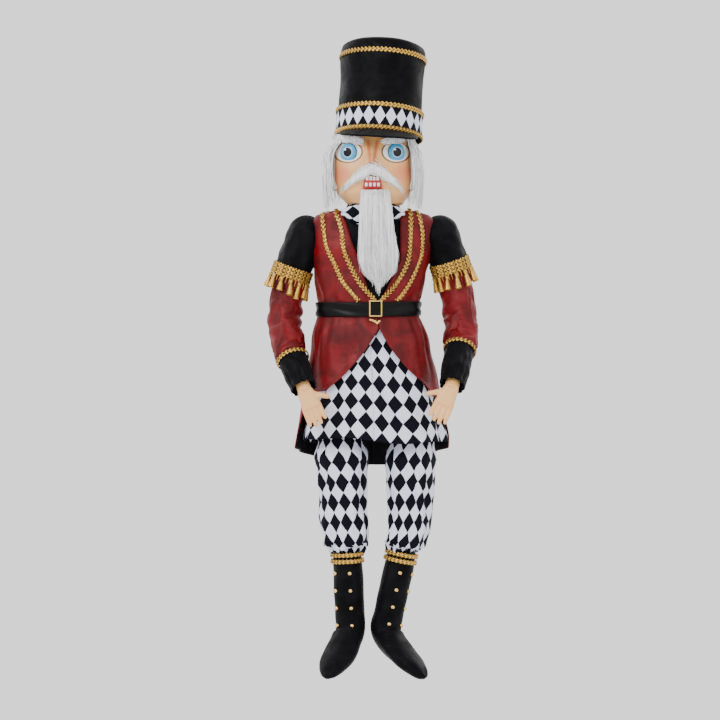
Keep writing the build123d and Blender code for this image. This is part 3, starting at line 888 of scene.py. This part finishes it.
# ---------------------------------------------------------------- head
def head_point(angle, height, grow=0.0):
    """Rounded box of the head, with a nose, cheeks and shallow eye sockets moulded on its front."""
    half_width, half_depth, sideways, forward = between(HEAD, height)[1:]
    c, s = squared(angle, 2.9)
    x = sideways + (half_width + grow) * c
    y = forward + (half_depth + grow) * s
    if s < 0:
        def hump(cx, cz, wx, wz):
            return math.exp(-((x - cx) / wx) ** 2 - ((height - cz) / wz) ** 2)

        nose = 11 * hump(FACE_X - 1, 226, 8.5, 10) + 7 * hump(FACE_X - 1, 240, 6.5, 14)
        cheeks = 3.5 * (hump(-46, 207, 20, 18) + hump(42, 207, 20, 18))
        sockets = 3.5 * (hump(FACE_X - 36, 240, 19, 15) + hump(FACE_X + 37, 240, 19, 15))
        chin = 3.0 * hump(FACE_X + 3, 172, 24, 12)
        lips = 4.0 * hump(FACE_X, 206, 20, 14)
        y -= (nose + cheeks - sockets + chin + lips) * min(1, -sin(angle) * 1.6)
    return Vector((x, y, height))


class DOLL_OT_head(bpy.types.Operator):
    """Make the painted head with its eyes, mouth and teeth"""
    bl_idname = "doll.head"
    bl_label = "Painted head"

    def execute(self, context):
        def place(u, v):
            angle = tau * u - pi / 2
            if v < 0.08:
                share = v / 0.08
                rim = head_point(angle, 157)
                return Vector((3, -8, 157 - 1.5 * (1 - share))).lerp(rim, sin(share * pi / 2))
            height = 157 + (300 - 157) * (v - 0.08) / 0.92
            point = head_point(angle, height)
            return point if v < 1 else Vector((8, 0, 301)).lerp(point, 0.001)

        def rounded(u, v):
            """Evens out the turn under the chin."""
            bend = 0.5 - 0.5 * cos(pi * v)
            return place(u, 0.35 * bend + 0.65 * v)

        head = surface(192, 140, rounded, closed=True)
        bmesh.ops.smooth_vert(head, verts=head.verts, factor=0.5, use_axis_x=True, use_axis_y=True,
                              use_axis_z=True)
        piece("painted_head", head, material("face"), "head", ["head_shell"], "skin")
        for side in SIDES:
            self.eye(side)
        self.mouth()
        return {"FINISHED"}

    def eye(self, side):
        x = FACE_X + EYE_SPREAD[side]
        probe = [head_point(-pi / 2 - 0.9 + 0.02 * i, EYE_Z - 1.5) for i in range(91)]
        base, ahead, behind = (min(probe, key=lambda p: abs(p.x - x - aside)) for aside in (0, 8, -8))
        across = (ahead - behind).normalized()
        out = across.cross(Vector((0, 0, 1))).normalized()
        up = out.cross(across)

        dome = bmesh.new()
        bmesh.ops.create_grid(dome, x_segments=28, y_segments=28, size=1)
        uv = dome.loops.layers.uv.new("UVMap")
        for vert in dome.verts:
            a, b = vert.co.x, vert.co.y
            vert.co = Vector((a * math.sqrt(1 - b * b / 2), b * math.sqrt(1 - a * a / 2), 0)) * EYE_RADIUS
        for face in dome.faces:
            for loop in face.loops:
                loop[uv].uv = (loop.vert.co.x * 0.9 * MM, loop.vert.co.y * 0.9 * MM)
        for vert in dome.verts:
            a, b = vert.co.x, vert.co.y
            bulge = EYE_BULGE * max(0, 1 - (a * a + b * b) / EYE_RADIUS ** 2) ** 0.5
            vert.co = (base + across * a + up * b + out * (bulge + 0.4)) * MM
        piece(f"{side}_eye_dome", dome, material("eye"), "head", [f"{side}_eye"], "eye")

    def mouth(self):
        centre = Vector((FACE_X + 1, head_point(-pi / 2, 196).y, 194))

        def place(u, v):
            x = (u - 0.5) * (30 - 7 * v)
            return centre + Vector((x, -1.6 - 1.6 * sin(pi * u) * sin(pi * v), (v - 0.5) * 23))

        piece("mouth_panel", surface(24, 18, place), material("mouth"), "head", ["teeth_plate"], "teeth", 0.002)
        teeth = []
        for row in (0, 1):
            for column in range(4):
                tooth = bmesh.new()
                bmesh.ops.create_cube(tooth, size=1)
                offset = Vector(((column - 1.5) * (5.4 if row else 6.2), -3.6, 4.6 if row else -4.8))
                for vert in tooth.verts:
                    vert.co = (centre + offset + Vector((vert.co.x * 4.2, vert.co.y * 2.4, vert.co.z * 6))) * MM
                bmesh.ops.bevel(tooth, geom=tooth.edges, offset=0.0011, offset_type="OFFSET", segments=3,
                                profile=0.5, affect="EDGES", material=-1)
                teeth.append(tooth)
        piece("painted_teeth", joined(teeth), material("teeth"), "head", slot="teeth")


class DOLL_OT_fur(bpy.types.Operator):
    """Make the hair, eyebrows, moustache and beard"""
    bl_idname = "doll.fur"
    bl_label = "Fur"

    def execute(self, context):
        chance = random.Random(7)
        self.hair(chance)
        self.beard(chance)
        self.moustache(chance)
        self.eyebrows(chance)
        return {"FINISHED"}

    def hair(self, chance):
        """A cap close to the head, with long straight locks hanging over its sides and back."""
        def cap_place(u, v):
            angle = radians(-27) + radians(234) * u
            height = 184 + 84 * v
            edge = min(1, 9 * u, 9 * (1 - u))
            swell = 1 + edge * (7 + 3 * sin(pi * v)) * min(1, 0.3 + 3 * v)
            point = head_point(angle, max(height, 192), swell + 1.0 * sin(60 * u + 3 * v))
            point.z = height
            return point

        piece("hair_cap", surface(140, 40, cap_place), material("hair"), "head", ["wig"], "fur", 0.003)
        count = head_settings().strands
        radius = head_settings().strand_radius
        for side in ("left", "right", "back"):
            locks = []
            for _ in range(count // 3):
                if side == "back":
                    angle = radians(chance.uniform(30, 150))
                else:
                    angle = radians(chance.triangular(-40, 40, -26))
                    angle = angle if side == "left" else pi - angle
                depth = chance.triangular(0, 8, 2)
                low = chance.triangular(152, 212, {"left": 165, "right": 172, "back": 192}[side])
                drift = chance.uniform(-0.09, 0.09)
                wave = chance.uniform(0, tau)
                points = []
                for step in range(10):
                    t = step / 9
                    height = HAIR_TOP + (low - HAIR_TOP) * t
                    swell = 2 + depth * min(1, 3 * t) + 8 * sin(pi * min(1, t * 0.8)) + 1.1 * sin(5 * t + wave)
                    point = head_point(angle + drift * t, max(height, 205), swell)
                    point.z = height
                    points.append(point)
                locks.append(points)
            strands(f"hair_{side}", locks, material("hair"), radius * 1.5, "head", slot="fur")

    def beard(self, chance):
        def place(u, v):
            height = 66 + 114 * v
            wide = between(BEARD_HALF_WIDTH, height)[1] * (0.55 + 0.25 * min(1, 3 * v))
            turn = tau * u
            lumps = 1 + 0.10 * noise.noise(Vector((3 * cos(turn), height / 22, 1)))
            middle = between(BEARD_MIDDLE, height)[1]
            return Vector((middle + wide * cos(turn) * lumps,
                           -65.5 + (3.0 + 0.16 * wide) * sin(turn) * lumps, height))

        body = piece("beard_body", surface(48, 60, place, closed=True), material("whiskers"), None, ["beard"],
                     "fur")
        locks = []
        for index in range(LOCKS["beard"]):
            start = chance.uniform(80, 182) if index % 3 else chance.uniform(150, 182)
            spread = chance.uniform(-1, 1)
            length = min(chance.uniform(45, 100), start - 16 - 26 * abs(spread) - chance.triangular(0, 46, 4))
            front = -68 - chance.uniform(0, 7) * (1 - spread * spread)
            wave, size = chance.uniform(0, tau), chance.uniform(0.4, 2.4)
            fray = chance.uniform(-1, 1) * 2.5
            points = []
            for step in range(8):
                t = step / 7
                height = start - length * t
                wide = between(BEARD_HALF_WIDTH, height)[1]
                x = between(BEARD_MIDDLE, height)[1] + spread * wide + fray * t * t + size * sin(6 * t + wave)
                points.append(Vector((x, front - 1.5 * sin(pi * t), height)))
            locks.append(points)
        hanging = strands("beard_locks", locks, material("whiskers"), head_settings().strand_radius, None,
                          slot="fur")
        for part in (body, hanging):
            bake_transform(part)

    def moustache(self, chance):
        """Two drooping sweeps that start together under the nose and thin out over the cheeks."""
        locks = []
        for index in range(LOCKS["moustache"]):
            hand = -1 if index % 2 else 1
            begin = chance.triangular(-0.12, 0.72, 0.0)
            offset = chance.gauss(0, 0.5)
            layer = chance.uniform(0, 6)
            wave, droop = chance.uniform(0, tau), chance.uniform(-3, 5)
            span = chance.uniform(0.28, 0.5)
            points = []
            for step in range(7):
                t = min(begin + span * step / 6, 1.12)
                x = FACE_X + 1 + hand * 45 * t
                z = 213.5 - 3 * abs(t) - 26 * max(0, t) ** 1.5 + offset * (3.5 * (1 - t) + 4)
                z += sin(5 * t + wave) - droop * (step / 6) ** 2
                base = head_point(front_angle(HEAD, 205, x), max(min(z, 214), 192)).y
                points.append(Vector((x, base - 2.5 - layer * (1 - 0.6 * max(0, t)), z)))
            locks.append(points)
        strands("moustache_locks", locks, material("whiskers"), head_settings().strand_radius, "head",
                stands_for=["moustache"], slot="fur")

    def eyebrows(self, chance):
        """Tufts that rise from beside the nose to meet the hair."""
        locks = []
        for index in range(LOCKS["eyebrow"]):
            hand = -1 if index % 2 else 1
            begin = chance.uniform(0, 0.85)
            offset = chance.gauss(0, 0.45)
            layer = chance.uniform(0, 5)
            span, curl = chance.uniform(0.22, 0.42), chance.uniform(-3, 3)
            points = []
            for step in range(6):
                t = begin + span * step / 5
                x = FACE_X + 1 + hand * (13 + 42 * t)
                z = 255.5 + 8 * t + offset * (4 + 4 * t) + curl * (step / 5) ** 2
                base = head_point(front_angle(HEAD, 250, max(-70, min(70, x))), 252).y
                points.append(Vector((x, base - 2 - layer, z)))
            locks.append(points)
        strands("eyebrow_locks", locks, material("whiskers"), head_settings().strand_radius, "head",
                stands_for=["eyebrows"], slot="fur")


# ---------------------------------------------------------------- hat
class DOLL_OT_hat(bpy.types.Operator):
    """Make the tall velvet hat with its braids, diamond band and visor"""
    bl_idname = "doll.hat"
    bl_label = "Hat"

    def execute(self, context):
        axis, side, front = limb_frame(HAT_LEAN)

        def place(u, v):
            if v < 0.8:
                distance = -7 + 139 * v / 0.8
                radius = between(HAT_WALL, distance)[1]
            else:
                turn = (v - 0.8) / 0.2 * pi / 2
                distance, radius = 132 + 11 * sin(turn), 65 * cos(turn) ** 0.42
            soft = min(1, max(0, (distance - 38) / 30))
            radius += 2.2 * soft * crumple(tau * u, 1.6, distance / 45)
            return HAT_BASE + axis * distance + spoke(side, front, tau * u) * max(radius, 0.001)

        crown = surface(128, 90, place, closed=True)
        bmesh.ops.remove_doubles(crown, verts=crown.verts, dist=2e-5)
        piece("hat_velvet_crown", crown, material("black"), "head", ["hat_crown"], "hat_velvet")

        band = tube(HAT_BAND, HAT_LEAN, HAT_BASE, BACKWARD, 144, 10,
                    size=(24 * cloth_settings().diamond_width, 0.030))
        piece("hat_diamond_band", band, material("print"), "head", ["hat_band"], "harlequin", 0.0006)
        rings = [braid_ribbon(ring_path(HAT_BASE + HAT_LEAN * at, HAT_LEAN, radius), 640, closed=True)
                 for at, radius in HAT_BRAIDS]
        piece("hat_braid_rings", joined(rings), material("braid"), "head", ["hat_braids"], "gold_braid")

        def visor_place(u, v):
            angle = radians(-58 + 116 * u)
            swell = v * max(0, cos(angle * 1.5)) ** 0.6
            out = front * -cos(angle) + side * -sin(angle)
            return HAT_BASE - HAT_LEAN * (6 + 19 * swell) + out * (66 + 29 * swell)

        piece("visor_leather", surface(60, 12, visor_place), material("black"), "head", ["hat_visor"],
              "visor_patent", 0.0022)
        return {"FINISHED"}


# ---------------------------------------------------------------- arms
def arm_points(side):
    """The shoulder, the upper arm's direction, the elbow and the forearm's direction."""
    top = Vector((SIDES[side] * SHOULDER_X, 0, SHOULDER_Z))
    upper = UPPER_LEAN[side].normalized()
    return top, upper, top + upper * UPPER_ARM, FORE_LEAN[side].normalized()


class DOLL_OT_arms(bpy.types.Operator):
    """Make both sleeves, fringed shoulder bands, cuffs and hands"""
    bl_idname = "doll.arms"
    bl_label = "Arms"

    def execute(self, context):
        for side in SIDES:
            self.shoulder_sleeve(side)
            self.fringe(side)
            self.red_sleeve(side)
            self.cuff(side)
            self.hand(side)
        return {"FINISHED"}

    def shoulder_sleeve(self, side):
        top, upper = arm_points(side)[:2]
        axis, across, front = limb_frame(upper)

        def place(u, v):
            if v > 0.6:
                turn = (v - 0.6) / 0.4 * pi / 2
                distance, radius = -(ARM_RADIUS + 1) * sin(turn), (ARM_RADIUS + 1) * cos(turn) + 0.001
            else:
                distance, radius = (FRINGE_AT[side] + 8) * (1 - v / 0.6), ARM_RADIUS + 1
            fold = 2.0 * crumple(tau * u, 1.8, distance / 16)
            return top + axis * distance + spoke(across, front, tau * u) * (radius + fold * min(1, radius / 20))

        sleeve = surface(64, 40, place, closed=True)
        bmesh.ops.remove_doubles(sleeve, verts=sleeve.verts, dist=2e-5)
        piece(f"{side}_black_sleeve", sleeve, material("black"), f"{side}_upper_arm",
              [f"{side}_shoulder_sleeve", f"{side}_upper_arm_core"], "black_velvet")

    def fringe(self, side):
        """Three rows of braid with tassels and threads hanging from the lowest."""
        top, upper = arm_points(side)[:2]
        bands = [braid_ribbon(ring_path(top + upper * (FRINGE_AT[side] + at), upper, ARM_BRAID_RADIUS), 300,
                              7.2, 2.2, 4.4, closed=True) for at in (1, 7, 13)]
        piece(f"{side}_fringe_braid", joined(bands), material("braid"), f"{side}_upper_arm",
              [f"{side}_fringe_band"], "gold_braid")
        across, front = limb_frame(upper)[1:]
        chance = random.Random(11)
        count = trim_settings().tassels
        tassels, loops = [], []
        for index in range(count):
            out = spoke(across, front, tau * (index + 0.5) / count)
            root = top + upper * (FRINGE_AT[side] + 16) + out * 31
            flare = 0.30 + chance.uniform(-0.1, 0.1)
            hang = (Vector((0, 0, -0.75)) + upper * 0.55 + out * flare).normalized()
            if out.dot(Vector((-SIDES[side], 0, 0))) > 0.5:
                hang = (upper + Vector((0, 0, -0.15)) + out * 0.05).normalized()
            length = chance.uniform(22, 27)
            shape = [(0, 1.0), (1.5, 2.2), (4, 3.2), (6, 2.0), (7.5, 1.9), (10, 3.2), (length, 5.2)]
            tassels.append(tube(shape, hang, root, Vector((0.3, 1, 0.2)), 18, 14,
                                wrinkle=lambda u, d: 0.45 * sin(tau * 9 * u) * (d > 7)))
        for index in range(count * 3):
            out = spoke(across, front, tau * index / (count * 3))
            root = top + upper * (FRINGE_AT[side] + 15) + out * 31
            points = [root, root + upper * 5 + out * 1.5, root + upper * 9 + out * 1.0]
            loops.append([p + Vector((0, 0, -0.3 * i)) for i, p in enumerate(points)])
        piece(f"{side}_tassels", joined(tassels), material("gold"), f"{side}_upper_arm",
              [f"{side}_fringe_tassels"], "gold_braid")
        strands(f"{side}_fringe_threads", loops, material("gold"), 0.0007, f"{side}_upper_arm", tip=0.8,
                slot="gold_braid")

    def red_sleeve(self, side):
        """The lower sleeve, bent round the elbow and let fall into folds."""
        top, upper, elbow, lower = arm_points(side)
        begin, end = top + upper * (FRINGE_AT[side] + 2), elbow + lower * (CUFF_AT[side] + 2)
        handles = begin + (elbow - begin) * 0.86, end + (elbow - end) * 0.82
        normal = upper.cross(lower).normalized()

        def place(u, v):
            t = 1 - v
            at = (begin * (1 - t) ** 3 + handles[0] * 3 * t * (1 - t) ** 2 + handles[1] * 3 * t * t * (1 - t)
                  + end * t ** 3)
            run = ((handles[0] - begin) * (1 - t) ** 2 + (handles[1] - handles[0]) * 2 * t * (1 - t)
                   + (end - handles[1]) * t * t).normalized()
            across = run.cross(normal).normalized()
            radius = between([(0, 27), (0.25, 26), (0.6, 25.5), (0.9, 25), (1.0, 22.5)], t)[1]
            fold = 2.2 * crumple(tau * u, 1.5, t * 9 + SIDES[side])
            return at + spoke(across, normal, tau * u) * (radius + fold)

        sleeve = piece(f"{side}_red_sleeve_cloth", surface(72, 72, place, closed=True, size=(0.16, 0.17)),
                       material("coat"), None, [f"{side}_red_sleeve"], "red_velvet", cloth_settings().cloth)

        def held(at):
            return 1.0 if min((at - begin).dot(upper), (end - at).dot(lower)) < 5 else 0.0

        relax(sleeve, held, 0.16, 1.2, frames=14, gravity=0.5, inward=4, outward=4)
        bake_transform(sleeve)

    def cuff(self, side):
        elbow, lower = arm_points(side)[2:]

        def pleats(u, distance):
            gather = min(1, max(0, (distance - 100) / 40))
            return 1.1 * gather * sin(tau * 12 * u) + 1.3 * crumple(tau * u, 4, distance / 14)

        cuff = tube([(CUFF_AT[side] - 2, 22.8), (112, 22.4), (140, 19.5), (146, 19)], lower, elbow,
                    Vector((0, 0, 1)), 72, 40, pleats)
        piece(f"{side}_cuff_cloth", cuff, material("black"), f"{side}_forearm",
              [f"{side}_cuff", f"{side}_forearm_core"], "black_velvet", 0.0012)
        ring = ring_path(elbow + lower * CUFF_AT[side], lower, CUFF_BRAID_RADIUS, Vector((0, 0, 1)))
        piece(f"{side}_cuff_braid_ring", braid_ribbon(ring, 260, closed=True), material("braid"),
              f"{side}_forearm", [f"{side}_cuff_braid"], "gold_braid")

    def hand(self, side):
        """The moulded hand is the frame's own hand with its fingers run together softly."""
        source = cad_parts[f"{side}_hand"]
        bm = bmesh.new()
        bm.from_mesh(source.data)
        bmesh.ops.remove_doubles(bm, verts=bm.verts, dist=1e-5)
        hand = piece(f"{side}_moulded_hand", bm, material("skin"))
        fuse = hand.modifiers.new("fuse", "REMESH")
        fuse.mode, fuse.voxel_size = "VOXEL", 0.0011
        even = hand.modifiers.new("even", "CORRECTIVE_SMOOTH")
        even.use_only_smooth, even.factor, even.iterations = True, 0.5, 9
        mesh = bpy.data.meshes.new_from_object(hand.evaluated_get(bpy.context.evaluated_depsgraph_get()))
        hand.modifiers.clear()
        hand.data = mesh
        mesh.materials.clear()
        mesh.materials.append(material("skin"))
        mesh.shade_smooth()
        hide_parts(f"{side}_hand")
        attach(hand, f"{side}_hand")


# ---------------------------------------------------------------- legs
class DOLL_OT_legs(bpy.types.Operator):
    """Make the trousers, boots, boot braids and studs"""
    bl_idname = "doll.legs"
    bl_label = "Legs"

    def execute(self, context):
        for side in SIDES:
            self.trouser(side)
            self.boot(side)
        return {"FINISHED"}

    def trouser(self, side):
        """A leg from the hip to the boot braid, full at the thigh and gathered at its end."""
        knee, ankle = KNEE[side], ANKLE[side]
        shin = (ankle - knee).normalized()
        top = TROUSER_TOP[side]
        bottom = knee + shin * (BOOT_BRAIDS_AT[0] + 1)
        length = (bottom - top).length

        def place(u, v):
            t = 1 - v
            if t < TROUSER_KNEE:
                at = top.lerp(knee, t / TROUSER_KNEE)
            else:
                at = knee.lerp(bottom, (t - TROUSER_KNEE) / BELOW_KNEE)
            radius = between(TROUSER_GIRTH[side], t)[1]
            angle = tau * u - 0.5 * SIDES[side] * t
            folds = 1.8 * sin(7 * angle + 9 * t) * t + 3 * crumple(angle, 1.4, 5 * t + SIDES[side])
            gather = 1.4 * sin(26 * angle) * max(0, (t - 0.9) / 0.1)
            return at + Vector((cos(angle), sin(angle) * 0.95, 0)) * (radius + folds + gather)

        size = (12 * cloth_settings().diamond_width, length * MM * 1.02)
        trouser = piece(f"{side}_trouser_cloth", surface(84, 100, place, closed=True, size=size),
                        material("print"), None, [f"{side}_trouser_leg", f"{side}_thigh_core"], "harlequin",
                        cloth_settings().cloth)
        relax(trouser, lambda at: 1.0 if at.z > -180 or (at - bottom).dot(shin) > -7 else 0.0, 0.07, 0.6,
              frames=14, gravity=0.8, inward=4, outward=3)
        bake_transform(trouser)

    def boot(self, side):
        """A soft boot drawn through sections, down the shaft and then along the foot to its tip."""
        knee, ankle = KNEE[side], ANKLE[side]
        shin = (ankle - knee).normalized()
        toe = FOOT_LEAN[side].normalized()
        across = (-shin).cross(toe).normalized()
        instep = toe.cross(across)
        back = across.cross(shin)
        sections = [(knee + shin * distance, across, back, half_width, half_depth)
                    for distance, half_width, half_depth in BOOT_SHAFT]
        for distance, half_width, half_height, sink in BOOT_FOOT:
            share = min(1, distance / 30)
            sole = (back * (1 - share) - instep * share).normalized()
            sections.append((ankle + toe * distance - instep * sink, across, sole, half_width, half_height))

        def place(u, v):
            spot = (1 - v) * (len(sections) - 1)
            index = min(int(spot), len(sections) - 2)
            run = [sections[max(0, min(index + i, len(sections) - 1))] for i in (-1, 0, 1, 2)]
            centre, wide_way, deep_way, wide, deep = (eased(*column, spot - index) for column in zip(*run))
            angle = tau * u
            wrinkle = 1.3 * crumple(angle, 1.5, spot * 0.9)
            return (centre + wide_way.normalized() * cos(angle) * (wide + wrinkle)
                    + deep_way.normalized() * sin(angle) * (deep + wrinkle))

        boot = surface(64, 110, place, closed=True)
        tip = [edge for edge in boot.edges
               if edge.is_boundary and (edge.verts[0].co / MM - ankle).dot(toe) > 60]
        bmesh.ops.contextual_create(boot, geom=tip)
        made = piece(f"{side}_boot_velvet", boot, material("black"), None,
                     [f"{side}_boot_shaft", f"{side}_boot_foot"], "black_velvet")
        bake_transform(made)

        rings = [braid_ribbon(ring_path(knee + shin * (at + 3), shin, BOOT_BRAID_RADIUS), 280, closed=True)
                 for at in BOOT_BRAIDS_AT]
        piece(f"{side}_boot_braid_rings", joined(rings), material("braid"), f"{side}_shin",
              [f"{side}_boot_braids"], "gold_braid")

        studs = []
        for row in range(STUD_ROWS):
            for turn in (-34, 30):
                out = spoke(-back, across, radians(turn))
                stud = bmesh.new()
                bmesh.ops.create_uvsphere(stud, u_segments=14, v_segments=8, radius=STUD_RADIUS * MM)
                at = knee + shin * (FIRST_STUD + STUD_STEP * row) + out * 23.5
                bmesh.ops.translate(stud, verts=stud.verts, vec=at * MM)
                studs.append(stud)
        piece(f"{side}_studs", joined(studs), material("metal"), f"{side}_shin", [f"{side}_boot_studs"],
              "gold_metal")


# ---------------------------------------------------------------- stage
class DOLL_OT_stage(bpy.types.Operator):
    """Make the pale studio, its lights and the camera"""
    bl_idname = "doll.stage"
    bl_label = "Studio"

    def execute(self, context):
        scene = context.scene
        sheet = bmesh.new()
        bmesh.ops.create_grid(sheet, x_segments=2, y_segments=2, size=FLOOR_HALF_WIDTH)
        bmesh.ops.translate(sheet, verts=sheet.verts, vec=(0, 0, FLOOR_Z))
        floor = piece("floor", sheet, plain("floor_paint", (0.93, 0.93, 0.93), 0.9))
        world = bpy.data.worlds.new("studio")
        world.use_nodes = True
        sky = world.node_tree.nodes["Background"]
        sky.inputs["Color"].default_value, sky.inputs["Strength"].default_value = (1, 1, 1, 1), SKY_STRENGTH
        scene.world = world
        for name, place, size, power in LAMPS:
            lamp = bpy.data.lights.new(name, "AREA")
            lamp.size, lamp.energy = size, power
            holder = bpy.data.objects.new(name, lamp)
            scene.collection.objects.link(holder)
            holder.location = place
            holder.rotation_euler = (Vector((0, 0, -0.1)) - Vector(place)).to_track_quat("-Z", "Y").to_euler()
        camera = bpy.data.cameras.new("camera")
        camera.lens, camera.sensor_width = CAMERA_LENS, 36
        holder = bpy.data.objects.new("camera", camera)
        scene.collection.objects.link(holder)
        holder.location = CAMERA_PLACE
        holder.rotation_euler = (pi / 2, 0, 0)
        scene.camera = holder
        return {"FINISHED"}


# ---------------------------------------------------------------- add-on
OPERATORS = (DOLL_OT_coat, DOLL_OT_skirts, DOLL_OT_head, DOLL_OT_fur, DOLL_OT_hat, DOLL_OT_arms, DOLL_OT_legs,
             DOLL_OT_stage)
SETTINGS = {"doll_cloth": DollClothSettings, "doll_head": DollHeadSettings, "doll_trim": DollTrimSettings}


class DOLL_PT_panel(bpy.types.Panel):
    """Lists the doll's operators and settings"""
    bl_idname = "DOLL_PT_panel"
    bl_label = "Soldier doll"
    bl_space_type = "VIEW_3D"
    bl_region_type = "UI"
    bl_category = "Soldier doll"

    def draw(self, context):
        for operator in OPERATORS:
            self.layout.operator(operator.bl_idname)
        for name, group in SETTINGS.items():
            for setting in group.__annotations__:
                self.layout.prop(getattr(context.scene, name), setting)


def register():
    for group in SETTINGS.values():
        bpy.utils.register_class(group)
    for name, group in SETTINGS.items():
        setattr(bpy.types.Scene, name, bpy.props.PointerProperty(type=group))
    for operator in (*OPERATORS, DOLL_PT_panel):
        bpy.utils.register_class(operator)


def unregister():
    for operator in (DOLL_PT_panel, *reversed(OPERATORS)):
        bpy.utils.unregister_class(operator)
    for name, group in SETTINGS.items():
        delattr(bpy.types.Scene, name)
        bpy.utils.unregister_class(group)


def main():
    register()
    for operator in OPERATORS:
        getattr(bpy.ops.doll, operator.bl_idname.split(".")[1])()


if __name__ == "__main__":
    main()
